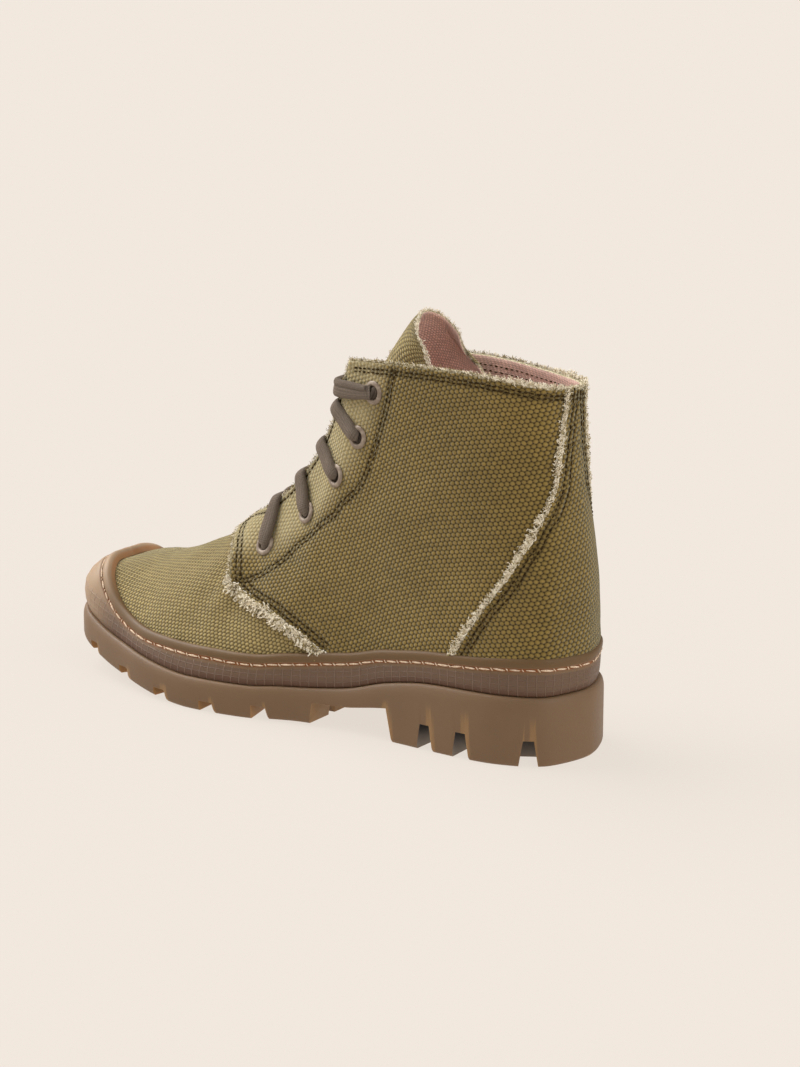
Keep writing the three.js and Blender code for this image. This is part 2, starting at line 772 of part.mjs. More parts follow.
// The rubber band's section: where each point lies up the wall, and how far out
function bandSection(i) {
  const { band, heights } = WALLS[i];
  const along = outlinePoint(PLACES[i]).x / SOLE_LENGTH;
  const toe = THREE.MathUtils.smoothstep(along, BUMPER_FROM, BUMPER_FULL);
  const body = THREE.MathUtils.lerp(BAND_THICKNESS + CLEARANCE, BUMPER_THICKNESS, toe);
  const lip = THREE.MathUtils.lerp(LIP_THICKNESS, TOE_LIP_THICKNESS, toe);
  const seam = band - LIP_WIDTH;
  const near = GROOVE_WIDTH / 2;
  const section = [
    [0, BAND_THICKNESS],
    [0.45 * seam, body],
    [seam - near, body],
    [seam, lip - GROOVE_DEPTH],
    [seam + near, lip],
    [band - 0.35 * LIP_WIDTH, lip],
    [band, 0.55 * lip],
    [band, CLEARANCE],
    [heights[2], CLEARANCE],
    [heights[1], CLEARANCE],
    [0, CLEARANCE],
  ];
  return section.map(([up, out]) => {
    let row = 0;
    while (row < BAND_ROWS - 1 && heights[row + 1] < up) row += 1;
    const share = (up - heights[row]) / (heights[row + 1] - heights[row]);
    return offsetPoint(i, row, out).lerp(offsetPoint(i, row + 1, out), share);
  });
}

// Sidewall band with its lip, stitch groove and toe bumper, as one closed ring
function foxing() {
  const body = new Body();
  const sections = PLACES.map((_, i) => bandSection(i).map((point) => body.add(point)));
  for (let i = 0; i < COUNT; i += 1) {
    const a = sections[i];
    const b = sections[(i + 1) % COUNT];
    for (let k = 0; k < a.length; k += 1) {
      const next = (k + 1) % a.length;
      const facingUpper = k >= a.length - BAND_ROWS - 1;
      if (facingUpper) body.quad(b[k], a[k], a[next], b[next]);
      else body.quad(a[k], a[next], b[next], b[k]);
    }
  }
  return body.geometry();
}

// Edge lines in side view, in millimetres
const sideLine = (rows, shift = 0) => rows.map((r) => [
  r.along * SOLE_LENGTH + shift,
  r.height * COLLAR_HEIGHT,
]);

function quarterBlock(outer) {
  const above = 1.2 * COLLAR_HEIGHT;
  const far = BALL_WIDTH;
  const front = sideLine(QUARTER_FRONT);
  const back = sideLine(COUNTER_FRONT, CLEARANCE);
  const corners = [
    [back[0][0], above],
    ...back,
    [back[back.length - 1][0], 0],
    [front[front.length - 1][0], 0],
    ...[...front].reverse(),
    [front[0][0], above],
  ];
  return outer
    ? sideBlock(corners, CLEARANCE / 2, far)
    : sideBlock(corners, -far, -CLEARANCE / 2);
}

function counterBlock() {
  const above = 1.2 * COLLAR_HEIGHT;
  const behind = -0.1 * SOLE_LENGTH;
  const front = sideLine(COUNTER_FRONT);
  const corners = [
    [behind, 0],
    [front[front.length - 1][0], 0],
    ...[...front].reverse(),
    [front[0][0], above],
    [behind, above],
  ];
  return sideBlock(corners, -BALL_WIDTH, BALL_WIDTH);
}

// Highest point of the side panel inside an eyelet's rim, measured along its normal
const PANEL_FACE = new THREE.Mesh(
  toGeometry(coat(BAND_ROWS, CLEARANCE, CLEARANCE + PANEL_THICKNESS)),
  new THREE.MeshBasicMaterial({ side: THREE.DoubleSide }),
);

function panelHeight(centre, normal, radius) {
  const start = 2 * EYELET_OUTER;
  const side = new THREE.Vector3(0, 0, 1).cross(normal).normalize();
  const up = new THREE.Vector3().crossVectors(normal, side);
  let highest = 0;
  [0, 0.5, 1].forEach((share) => {
    for (let i = 0; i < 2 * EYELET_SIDES; i += 1) {
      const turn = (Math.PI * i) / EYELET_SIDES;
      const origin = centre.clone()
        .addScaledVector(side, share * radius * Math.cos(turn))
        .addScaledVector(up, share * radius * Math.sin(turn))
        .addScaledVector(normal, start);
      const [hit] = new THREE.Raycaster(origin, normal.clone().negate()).intersectObject(PANEL_FACE);
      if (hit) highest = Math.max(highest, start - hit.distance);
    }
  });
  return highest;
}

// Where an eyelet sits: the middle of its flange's underside, its outward direction
// and how far its tube reaches in
function eyeletSeat({ station, up }, outer) {
  const at = (s, share) => wallCurve(outer ? s : RING - s).getPointAt(share);
  const rim = EYELET_OUTER / 2;
  const climb = rim / wallCurve(outer ? station : RING - station).getLength();
  const nearby = at(station + 0.1, up).distanceTo(at(station - 0.1, up)) / 0.2;
  const spread = rim / nearby;
  const along = new THREE.Vector3().subVectors(at(station + spread, up), at(station - spread, up));
  const rise = new THREE.Vector3().subVectors(at(station, up + climb), at(station, up - climb));
  const normal = rise.cross(along).normalize();
  if (normal.y * (outer ? 1 : -1) < 0) normal.negate();
  const centre = at(station, up);
  const height = panelHeight(centre, normal, rim) + CLEARANCE;
  return { centre: centre.addScaledVector(normal, height), normal, depth: height + UPPER_WALL };
}

const TUBE_RADIUS = EYELET_HOLE / 2 + EYELET_TUBE;

// Turns a shape made round the y axis onto a seat
function ontoSeat(geometry, seat) {
  const turn = new THREE.Quaternion().setFromUnitVectors(new THREE.Vector3(0, 1, 0), seat.normal);
  return geometry.applyQuaternion(turn).translate(seat.centre.x, seat.centre.y, seat.centre.z);
}

function eyeletHole(seat) {
  const radius = TUBE_RADIUS + CLEARANCE;
  return ontoSeat(new THREE.CylinderGeometry(radius, radius, 4 * seat.depth, EYELET_SIDES), seat);
}

// Rolled metal ring with a short tube through the canvas
function eyelet(seat) {
  const hole = EYELET_HOLE / 2;
  const rim = EYELET_OUTER / 2;
  const roll = CLEARANCE;
  const profile = [
    [hole, -seat.depth],
    [TUBE_RADIUS, -seat.depth],
    [TUBE_RADIUS, 0],
    [rim, 0],
    [0.5 * (rim + TUBE_RADIUS), EYELET_FLANGE],
    [hole, EYELET_FLANGE - roll],
    [hole, -seat.depth],
  ];
  return ontoSeat(
    new THREE.LatheGeometry(profile.map(([r, h]) => new THREE.Vector2(r, h)), EYELET_SIDES),
    seat,
  );
}

// Closed sheet of even thickness over a grid of points, rows by columns
function sheet(grid, thickness) {
  const body = new Body();
  const rows = grid.length;
  const columns = grid[0].length;
  const clampRow = (r) => THREE.MathUtils.clamp(r, 0, rows - 1);
  const clampColumn = (c) => THREE.MathUtils.clamp(c, 0, columns - 1);
  const normal = (r, c) => {
    const up = new THREE.Vector3().subVectors(grid[clampRow(r + 1)][c], grid[clampRow(r - 1)][c]);
    const over = new THREE.Vector3().subVectors(
      grid[r][clampColumn(c + 1)],
      grid[r][clampColumn(c - 1)],
    );
    return up.cross(over).normalize();
  };
  const skin = (offset) => grid.map((row, r) => row.map(
    (point, c) => body.add(point.clone().addScaledVector(normal(r, c), offset)),
  ));
  const front = skin(thickness / 2);
  const back = skin(-thickness / 2);
  for (let r = 0; r < rows - 1; r += 1) {
    for (let c = 0; c < columns - 1; c += 1) {
      const rising = grid[r][c].distanceTo(grid[r + 1][c + 1]);
      const falling = grid[r + 1][c].distanceTo(grid[r][c + 1]);
      const corners = [[r, c], [r + 1, c], [r + 1, c + 1], [r, c + 1]];
      if (falling < rising) corners.push(corners.shift());
      body.quad(...corners.map(([i, j]) => front[i][j]));
      const mirrored = [corners[0], corners[3], corners[2], corners[1]];
      body.quad(...mirrored.map(([i, j]) => back[i][j]));
    }
    body.quad(back[r][0], back[r + 1][0], front[r + 1][0], front[r][0]);
    const c = columns - 1;
    body.quad(front[r][c], front[r + 1][c], back[r + 1][c], back[r][c]);
  }
  for (let c = 0; c < columns - 1; c += 1) {
    body.quad(front[0][c], front[0][c + 1], back[0][c + 1], back[0][c]);
    const r = rows - 1;
    body.quad(back[r][c], back[r][c + 1], front[r][c + 1], front[r][c]);
  }
  return body.geometry();
}

// Tongue: a trough that is curled back along its middle line
function tongue() {
  const column = (name, size) => TONGUE.map((row) => row[name] * size);
  const xs = column('along', SOLE_LENGTH);
  const zs = TONGUE.map((row) => INSTEP_HEIGHT + row.height * TONGUE_RISE);
  const radii = column('radius', COLLAR_WIDTH);
  const halves = column('half', COLLAR_WIDTH);
  const asides = column('aside', -COLLAR_WIDTH);
  const turns = column('turn', -COLLAR_WIDTH);
  const grid = [];
  for (let r = 0; r <= TONGUE_ROWS; r += 1) {
    const at = ((TONGUE.length - 1) * r) / TONGUE_ROWS;
    const step = 0.02;
    const dx = readList(xs, at + step) - readList(xs, at - step);
    const dz = readList(zs, at + step) - readList(zs, at - step);
    const back = new THREE.Vector3(-dz, 0, dx).normalize();
    const radius = readList(radii, at);
    const half = readList(halves, at);
    const row = [];
    for (let c = 0; c <= TONGUE_COLUMNS; c += 1) {
      const reach = readList(turns, at) + half * (1 - (2 * c) / TONGUE_COLUMNS);
      const bend = Math.min(Math.abs(reach), (radius * Math.PI) / 2);
      const straight = Math.abs(reach) - bend;
      const side = Math.sign(reach) * radius * Math.sin(bend / radius);
      const depth = radius * (1 - Math.cos(bend / radius)) + straight;
      const point = new THREE.Vector3(readList(xs, at), readList(asides, at) + side, readList(zs, at));
      row.push(point.addScaledVector(back, depth));
    }
    grid.push(row);
  }
  return sheet(grid, TONGUE_THICKNESS);
}

// Flat cord along a path, its broad side facing each point's normal
function strap(path, normals) {
  const body = new Body();
  const sections = path.map((point, k) => {
    const before = path[Math.max(k - 1, 0)];
    const after = path[Math.min(k + 1, path.length - 1)];
    const ahead = new THREE.Vector3().subVectors(after, before).normalize();
    const across = new THREE.Vector3().crossVectors(normals[k], ahead).normalize();
    const out = new THREE.Vector3().crossVectors(ahead, across);
    return Array.from({ length: LACE_SIDES }, (_, i) => {
      const turn = (2 * Math.PI * i) / LACE_SIDES;
      const corner = point.clone().addScaledVector(across, (LACE_WIDTH / 2) * Math.cos(turn));
      return body.add(corner.addScaledVector(out, (LACE_THICKNESS / 2) * Math.sin(turn)));
    });
  });
  for (let k = 0; k < sections.length - 1; k += 1) {
    for (let i = 0; i < LACE_SIDES; i += 1) {
      const j = (i + 1) % LACE_SIDES;
      body.quad(sections[k][i], sections[k][j], sections[k + 1][j], sections[k + 1][i]);
    }
  }
  const cap = (ring) => {
    for (let i = 1; i < LACE_SIDES - 1; i += 1) body.triangle(ring[0], ring[i], ring[i + 1]);
  };
  cap([...sections[0]].reverse());
  cap(sections[sections.length - 1]);
  return body.geometry();
}

const OUTER_SEATS = EYELETS.map((row) => eyeletSeat(row, true));
const INNER_SEATS = EYELETS.map((row) => eyeletSeat(row, false));

// Point of the throat's edge level with an eyelet, counted 0 to 4 from the top
function throatEdge(count, outer) {
  const s = readList(LACE_PLACES, count);
  return topPoint(outer ? s : RING - s);
}

// Middle of the cord where it lies on an eyelet's flange
function onEyelet(seat) {
  const lift = EYELET_FLANGE + 3 * CLEARANCE + LACE_THICKNESS / 2;
  return seat.centre.clone().addScaledVector(seat.normal, lift);
}

// Middle of the cord where it turns round the outer corner of the throat's edge
function roundEdge(edge, normal, front) {
  const lift = LACE_THICKNESS / 2 + 4 * CLEARANCE;
  const bisector = new THREE.Vector3().addVectors(normal, front).normalize();
  return edge.clone()
    .addScaledVector(normal, CLEARANCE + PANEL_THICKNESS)
    .addScaledVector(bisector, lift);
}

// Cord laid evenly through points, its broad side turning from one normal to the next
function cordThrough(points, steps, normalAt) {
  const curve = new THREE.CatmullRomCurve3(points, false, 'centripetal');
  const path = curve.getSpacedPoints(steps);
  return strap(path, path.map((_, k) => normalAt(k / steps)));
}

// One leg of a crossing: from the lower eyelet round the throat's edge and across it.
// It leaves and meets the edges at shares of the way up to the next eyelet.
function crossingLeg(count, fromOuter) {
  const leave = 0.48;
  const meet = 0.76;
  const seat = (fromOuter ? OUTER_SEATS : INNER_SEATS)[count];
  const middle = new THREE.Vector3().addVectors(
    throatEdge(count - 0.62, true),
    throatEdge(count - 0.62, false),
  ).multiplyScalar(0.5);
  const along = new THREE.Vector3().subVectors(
    throatEdge(count - 0.9, true),
    throatEdge(count - 0.1, true),
  ).normalize();
  const front = new THREE.Vector3(along.z, 0, -along.x).normalize();
  const crest = middle.clone().addScaledVector(front, LACE_THICKNESS / 2 + 2 * CLEARANCE);
  const end = throatEdge(count - meet, !fromOuter).lerp(middle, 0.6);
  const points = [
    onEyelet(seat),
    roundEdge(throatEdge(count - leave, fromOuter), seat.normal, front),
    crest,
    end.addScaledVector(front, CLEARANCE),
  ];
  return cordThrough(points, LACE_STEPS, (t) => {
    const turn = THREE.MathUtils.smoothstep(t, 0.1, 0.6);
    return seat.normal.clone().lerp(front, turn).normalize();
  });
}

function laceCrossing(count) {
  const legs = [crossingLeg(count, true), crossingLeg(count, false)].map(toSolid);
  return toGeometry(legs[0].add(legs[1]));
}

// Top bar: straight across from the outer top eyelet to the inner one
function laceBar() {
  const [outer, inner] = [OUTER_SEATS[0], INNER_SEATS[0]];
  const front = new THREE.Vector3(1, 0, 0.3).normalize();
  const points = [
    onEyelet(outer),
    roundEdge(throatEdge(0, true), outer.normal, front),
    roundEdge(throatEdge(0, false), inner.normal, front),
    onEyelet(inner),
  ];
  return cordThrough(points, 2 * LACE_STEPS, (t) => {
    const side = t < 0.5 ? outer.normal : inner.normal;
    const turn = THREE.MathUtils.smoothstep(Math.min(t, 1 - t), 0.1, 0.4);
    return side.clone().lerp(front, turn).normalize();
  });
}

// Surfaces of the pieces
const gum = new THREE.MeshStandardMaterial({ color: 0x8a6f57, roughness: 0.5, metalness: 0 });
const canvas = new THREE.MeshStandardMaterial({ color: 0x8f8052, roughness: 0.9, metalness: 0 });
const lining = new THREE.MeshStandardMaterial({ color: 0xa07c6e, roughness: 0.9, metalness: 0 });
const metal = new THREE.MeshStandardMaterial({ color: 0x9b8675, roughness: 0.35, metalness: 0.8 });
const cotton = new THREE.MeshStandardMaterial({ color: 0x6f6259, roughness: 0.95, metalness: 0 });

const boot = new THREE.Group();
function place(name, geometry, material) {
  const flatShaded = geometry.index ? geometry.toNonIndexed() : geometry;
  flatShaded.deleteAttribute('uv');
  flatShaded.computeVertexNormals();
  const mesh = new THREE.Mesh(flatShaded, material.clone());
  mesh.name = name;
  boot.add(mesh);
}

const holes = [...OUTER_SEATS, ...INNER_SEATS].map(eyeletHole);
const upperSolid = cut(coat(0, -UPPER_WALL, 0), holes);
const panelCoat = cut(coat(BAND_ROWS, CLEARANCE, CLEARANCE + PANEL_THICKNESS), holes);
const counterCoat = coat(BAND_ROWS, CLEARANCE, CLEARANCE + COUNTER_THICKNESS);

place('outsole', outsole(), gum);
place('foxing', foxing(), gum);
place('insole', insole(), lining);
place('upper', toGeometry(upperSolid), canvas);
place('quarter_outer', toGeometry(panelCoat.intersect(toSolid(quarterBlock(true)))), canvas);
place('quarter_inner', toGeometry(panelCoat.intersect(toSolid(quarterBlock(false)))), canvas);
place('heel_counter', toGeometry(counterCoat.intersect(toSolid(counterBlock()))), canvas);
place('tongue', tongue(), canvas);
OUTER_SEATS.forEach((seat, k) => place(`eyelet_outer_${k + 1}`, eyelet(seat), metal));
INNER_SEATS.forEach((seat, k) => place(`eyelet_inner_${k + 1}`, eyelet(seat), metal));
place('lace_bar', laceBar(), cotton);
for (let k = 1; k <= 4; k += 1) place(`lace_cross_${k}`, laceCrossing(k), cotton);

// The origin lies under the middle of the boot, on the floor
const box = new THREE.Box3().setFromObject(boot);
const middle = box.getCenter(new THREE.Vector3());
boot.position.set(-middle.x, -middle.y, -box.min.z);

export default boot;
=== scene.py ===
"""Canvas ankle boot for the left foot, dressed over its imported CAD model.

Shapes are worked out in millimetres from the same tables as the model's source,
with x from the back of the heel, and put into the frame in metres at the end.
"""

import math

import bmesh
import bpy
import numpy as np
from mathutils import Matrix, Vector
from mathutils.kdtree import KDTree


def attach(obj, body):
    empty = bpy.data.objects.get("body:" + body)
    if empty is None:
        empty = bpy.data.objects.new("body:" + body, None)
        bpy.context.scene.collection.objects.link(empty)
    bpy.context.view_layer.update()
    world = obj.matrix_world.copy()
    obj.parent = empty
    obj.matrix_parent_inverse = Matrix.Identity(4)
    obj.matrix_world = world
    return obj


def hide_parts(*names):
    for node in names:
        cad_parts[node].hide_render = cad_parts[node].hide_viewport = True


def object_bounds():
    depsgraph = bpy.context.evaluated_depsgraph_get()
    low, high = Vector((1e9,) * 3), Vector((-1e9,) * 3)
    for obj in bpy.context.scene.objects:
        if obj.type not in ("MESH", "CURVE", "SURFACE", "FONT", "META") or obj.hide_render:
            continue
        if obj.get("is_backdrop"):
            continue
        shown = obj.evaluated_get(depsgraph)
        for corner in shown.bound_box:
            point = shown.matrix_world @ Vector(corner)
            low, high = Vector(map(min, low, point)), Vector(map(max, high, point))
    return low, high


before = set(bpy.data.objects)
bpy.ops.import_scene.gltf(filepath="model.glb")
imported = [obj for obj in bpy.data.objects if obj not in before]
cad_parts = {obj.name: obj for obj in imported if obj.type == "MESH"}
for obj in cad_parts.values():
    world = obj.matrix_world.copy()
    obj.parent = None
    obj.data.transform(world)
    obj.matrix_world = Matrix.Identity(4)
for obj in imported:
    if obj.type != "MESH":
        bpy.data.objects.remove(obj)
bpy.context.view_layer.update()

MM = 0.001

# Driving sizes, as in the model's source
SOLE_LENGTH = 290.0
BALL_WIDTH = 99.2
HEEL_WIDTH = 73.8
HEEL_HEIGHT = 32.0
FOREFOOT_HEIGHT = 15.2
TOE_SPRING = 15.3
SLAB_THICKNESS = 10.4
RIM_ROUNDING = 6.0
TREAD_CHAMFER = 1.2
GAP_WIDTH = 7.2
GAP_SLANT = 3.2
GAP_REACH = 24.0
CHANNEL_WIDTH = 5.0
NOTCH_HEIGHT = 12.4
NOTCH_WIDTH = 5.0
NOTCH_FLARE = 2.0
NOTCH_REACH = 15.0
COLLAR_HEIGHT = 176.5
COLLAR_WIDTH = 54.5
INSTEP_HEIGHT = 87.0
TOE_BOX_HEIGHT = 58.6
UPPER_WALL = 1.8
PANEL_THICKNESS = 1.0
COUNTER_THICKNESS = 1.7
TONGUE_THICKNESS = 2.2
TONGUE_RISE = 108.0
INSOLE_THICKNESS = 4.0
BAND_HEIGHT = 28.0
BAND_INSET = 2.2
BAND_THICKNESS = 2.0
LIP_THICKNESS = 2.9
BUMPER_THICKNESS = 5.4
TOE_LIP_THICKNESS = 5.2
GROOVE_DEPTH = 0.9
GROOVE_WIDTH = 2.0
LIP_WIDTH = 5.4
EYELET_OUTER = 11.0
EYELET_HOLE = 6.2
EYELET_FLANGE = 0.9
LACE_WIDTH = 7.4
LACE_THICKNESS = 3.4
CLEARANCE = 0.3
FOOT_INSET = BAND_INSET + BAND_THICKNESS + CLEARANCE

# Stations round the sole: along, outer and inner width
OUTLINE = np.array([
    (0.000, 0.000, 0.000), (0.020, 0.275, 0.275), (0.050, 0.397, 0.397),
    (0.100, 0.474, 0.474), (0.150, 0.500, 0.500), (0.214, 0.499, 0.490),
    (0.283, 0.465, 0.433), (0.352, 0.420, 0.375), (0.421, 0.401, 0.350),
    (0.483, 0.408, 0.362), (0.534, 0.437, 0.404), (0.586, 0.469, 0.454),
    (0.638, 0.486, 0.494), (0.690, 0.486, 0.514), (0.741, 0.470, 0.514),
    (0.793, 0.433, 0.489), (0.841, 0.383, 0.444), (0.886, 0.334, 0.378),
    (0.928, 0.278, 0.300), (0.964, 0.216, 0.212), (0.990, 0.126, 0.124),
    (1.000, 0.000, 0.000),
])
LAST = len(OUTLINE) - 1
RING = 2 * LAST

# Side profile of the sole: along, spring, heel and slab
PROFILE = np.array([
    (0.00, 0.00, 1.00, 1.20), (0.22, 0.00, 0.97, 1.20), (0.31, 0.00, 0.72, 1.10),
    (0.38, 0.00, 0.36, 0.85), (0.45, 0.08, 0.10, 0.65), (0.52, 0.05, 0.03, 0.82),
    (0.56, 0.00, 0.01, 0.92), (0.68, 0.00, 0.00, 1.00), (0.75, 0.12, 0.00, 1.00),
    (0.83, 0.34, 0.00, 1.00), (0.90, 0.57, 0.01, 1.00), (1.00, 1.00, 0.03, 1.00),
])

# Topline from the back seam to the throat: along, outer, inner, outer and inner height
TOPLINE = np.array([
    (0.038, 0.000, 0.000, 0.933, 0.933), (0.048, 0.211, 0.211, 0.944, 0.916),
    (0.071, 0.339, 0.339, 0.959, 0.912), (0.114, 0.431, 0.440, 0.980, 0.916),
    (0.159, 0.468, 0.495, 0.994, 0.927), (0.214, 0.477, 0.523, 1.000, 0.944),
    (0.276, 0.464, 0.514, 0.997, 0.955), (0.338, 0.422, 0.413, 0.987, 0.955),
    (0.412, 0.336, 0.257, 0.965, 0.944), (0.433, 0.294, 0.239, 0.782, 0.771),
    (0.469, 0.242, 0.211, 0.525, 0.514), (0.521, 0.187, 0.180, 0.296, 0.291),
    (0.586, 0.128, 0.132, 0.106, 0.106), (0.643, 0.000, 0.000, 0.000, 0.000),
])
CORNER = 8
THROAT = len(TOPLINE) - 1

# Ridge of the vamp: along, aside and height
RIDGE = np.array([
    (0.643, 0.000, 1.000), (0.693, 0.010, 0.613), (0.738, 0.030, 0.384),
    (0.779, 0.050, 0.180), (0.817, 0.071, 0.049), (0.848, 0.081, 0.000),
    (0.872, 0.086, -0.046), (0.891, 0.086, -0.099), (0.905, 0.086, -0.151),
])

# Walls of the upper: tilt, reach, lean, rise, then the band as shares of BAND_HEIGHT
WALL = np.array([
    (94.0, 0.33, -6, 0.345, 0.629, 0.629), (93.5, 0.33, -5, 0.340, 0.650, 0.650),
    (93.0, 0.33, -3, 0.330, 0.650, 0.650), (92.0, 0.33, 0, 0.330, 0.621, 0.621),
    (91.0, 0.33, 1, 0.330, 0.579, 0.579), (90.0, 0.33, 1, 0.330, 0.543, 0.543),
    (89.0, 0.33, 1, 0.330, 0.543, 0.543), (88.0, 0.33, 2, 0.330, 0.586, 0.586),
    (87.0, 0.33, 3, 0.300, 0.600, 0.600), (86.0, 0.33, 6, 0.280, 0.568, 0.568),
    (84.0, 0.33, 10, 0.270, 0.536, 0.536), (78.0, 0.33, 13, 0.270, 0.521, 0.521),
    (68.0, 0.33, 15, 0.280, 0.525, 0.525), (25.0, 0.22, 16, 0.300, 0.518, 0.518),
    (0.0, 0.24, 15, 0.330, 0.486, 0.486), (0.0, 0.30, 14, 0.360, 0.446, 0.482),
    (0.0, 0.34, 13, 0.380, 0.464, 0.554), (0.0, 0.37, 11, 0.400, 0.568, 0.714),
    (0.0, 0.40, 8, 0.420, 0.743, 0.893), (0.0, 0.42, 5, 0.440, 0.929, 1.018),
    (0.0, 0.44, 2, 0.450, 1.000, 1.036), (0.0, 0.45, 0, 0.460, 1.000, 1.000),
])

# Front edge of the quarters and of the heel counter in side view: along and height
QUARTER_FRONT = np.array([
    (0.700, 0.600), (0.681, 0.470), (0.671, 0.440), (0.656, 0.408), (0.648, 0.374),
    (0.638, 0.329), (0.597, 0.300), (0.538, 0.278), (0.486, 0.238), (0.441, 0.198),
    (0.390, 0.140),
])
COUNTER_FRONT = np.array([
    (0.038, 1.100), (0.042, 0.963), (0.045, 0.890), (0.046, 0.816), (0.047, 0.714),
    (0.053, 0.660), (0.069, 0.583), (0.098, 0.490), (0.128, 0.420), (0.157, 0.345),
    (0.184, 0.272), (0.214, 0.180),
])

# Eyelets of one side: station and share up the wall
EYELETS = np.array([(7.25, 0.906), (7.65, 0.769), (8.60, 0.688), (10.45, 0.755), (11.90, 0.754)])

# Tongue: along, height, radius, half width, aside and turn
TONGUE = np.array([
    (0.674, -0.115, 0.110, 0.150, 0.000, 0.000), (0.640, -0.055, 0.110, 0.190, 0.000, 0.000),
    (0.578, 0.042, 0.120, 0.290, 0.000, 0.000), (0.512, 0.198, 0.140, 0.400, 0.000, 0.000),
    (0.456, 0.395, 0.165, 0.540, 0.000, 0.010), (0.412, 0.590, 0.200, 0.720, 0.020, 0.050),
    (0.381, 0.775, 0.250, 0.880, 0.045, 0.120), (0.357, 0.885, 0.255, 0.810, 0.055, 0.170),
    (0.337, 0.960, 0.235, 0.580, 0.060, 0.165), (0.322, 1.000, 0.210, 0.270, 0.060, 0.140),
])

LUG_GAPS = (0.540, 0.636, 0.736, 0.833, 0.926)
HEEL_NOTCHES = (0.231, 0.163, 0.053)
HEEL_BREAST = 0.300
WAIST_END = 0.447


# Curves through tables
def blend(a, b, c, d, t):
    linear = c - a
    square = 2 * a - 5 * b + 4 * c - d
    cube = 3 * b - a - 3 * c + d
    return 0.5 * (2 * b + linear * t + square * t * t + cube * t * t * t)


def read_list(values, place):
    """A list read smoothly at real-numbered places, its ends carried on."""
    values = np.asarray(values, float)
    last = len(values) - 1
    padded = np.concatenate([
        [2 * values[0] - values[1]], values, [2 * values[-1] - values[-2]],
    ])
    at = np.clip(place, 0, last)
    k = np.minimum(np.floor(at).astype(int), last - 1)
    return blend(padded[k], padded[k + 1], padded[k + 2], padded[k + 3], at - k)


def read_ring(values, place):
    """A closed ring of values read smoothly at real-numbered places."""
    n = len(values)
    k = np.floor(place).astype(int)
    pick = [values[(k + i) % n] for i in (-1, 0, 1, 2)]
    return blend(*pick, place - k)


def read_profile(column, along):
    at = np.clip(along, 0, 1)
    x = PROFILE[:, 0]
    y = PROFILE[:, column]
    k = np.clip(np.searchsorted(x, at, side="right") - 1, 0, len(x) - 2)
    before = np.maximum(np.arange(len(x)) - 1, 0)
    after = np.minimum(np.arange(len(x)) + 1, len(x) - 1)
    slope = (y[after] - y[before]) / (x[after] - x[before])
    span = x[k + 1] - x[k]
    t = (at - x[k]) / span
    start = (1 + 2 * t) * (1 - t) ** 2 * y[k] + t * (1 - t) ** 2 * span * slope[k]
    end = t * t * (3 - 2 * t) * y[k + 1] + t * t * (t - 1) * span * slope[k + 1]
    return start + end


def smoothstep(x, low, high):
    t = np.clip((x - low) / (high - low), 0, 1)
    return t * t * (3 - 2 * t)


def lerp(a, b, t):
    return a + (b - a) * t


def unit(v):
    return v / np.maximum(np.linalg.norm(v, axis=-1, keepdims=True), 1e-9)


def walked(points):
    """Length walked along a line of points, up to each of them."""
    steps = np.linalg.norm(np.diff(points, axis=0), axis=1)
    return np.concatenate([[0], np.cumsum(steps)])


def ring_of(outer, inner):
    return np.concatenate([outer, inner[1:LAST][::-1]])


width = lerp(HEEL_WIDTH, BALL_WIDTH, smoothstep(OUTLINE[:, 0], 0.2, 0.55))
outline_x = ring_of(OUTLINE[:, 0] * SOLE_LENGTH, OUTLINE[:, 0] * SOLE_LENGTH)
outline_y = ring_of(OUTLINE[:, 1] * width, -OUTLINE[:, 2] * width)
wall_tilt, wall_reach, wall_lean, wall_rise = (ring_of(WALL[:, k], WALL[:, k]) for k in range(4))
band_height = ring_of(WALL[:, 4], WALL[:, 5]) * BAND_HEIGHT


def tread_z(x):
    return TOE_SPRING * np.maximum(read_profile(1, x / SOLE_LENGTH), 0)


def ledge_z(x):
    extra = (HEEL_HEIGHT - FOREFOOT_HEIGHT) * read_profile(2, x / SOLE_LENGTH)
    return tread_z(x) + FOREFOOT_HEIGHT + extra


def web_z(x):
    return ledge_z(x) - SLAB_THICKNESS * read_profile(3, x / SOLE_LENGTH)


def outline_normal(u):
    step = 0.01
    dx = read_ring(outline_x, u + step) - read_ring(outline_x, u - step)
    dy = read_ring(outline_y, u + step) - read_ring(outline_y, u - step)
    return unit(np.stack([-dy, dx, 0 * dx], -1))


def outline_point(u, inset=0.0):
    point = np.stack([read_ring(outline_x, u), read_ring(outline_y, u), 0 * u], -1)
    return point - outline_normal(u) * np.asarray(inset)[..., None]


# The middle of the outline's width lies on the frame's x axis
_ring = outline_point(np.linspace(0, RING, 2001))
SHIFT = np.array([-SOLE_LENGTH / 2, -(_ring[:, 1].min() + _ring[:, 1].max()) / 2, 0.0])


def placed(points):
    """Millimetres from the heel's back, as metres in the frame."""
    return (np.asarray(points) + SHIFT) * MM


def ridge_point(s):
    at = s - THROAT
    return np.stack([
        read_list(RIDGE[:, 0], at) * SOLE_LENGTH,
        read_list(RIDGE[:, 1], at) * -BALL_WIDTH,
        lerp(TOE_BOX_HEIGHT, INSTEP_HEIGHT, read_list(RIDGE[:, 2], at)),
    ], -1)


def topline_side(outer):
    return np.stack([
        TOPLINE[:, 0] * SOLE_LENGTH,
        (TOPLINE[:, 1] if outer else -TOPLINE[:, 2]) * COLLAR_WIDTH,
        lerp(INSTEP_HEIGHT, COLLAR_HEIGHT, TOPLINE[:, 3 if outer else 4]),
    ], -1)


OUTER_TOP = topline_side(True)
INNER_TOP = topline_side(False)
COLLAR = np.concatenate([INNER_TOP[1:CORNER + 1][::-1], OUTER_TOP[:CORNER + 1]])


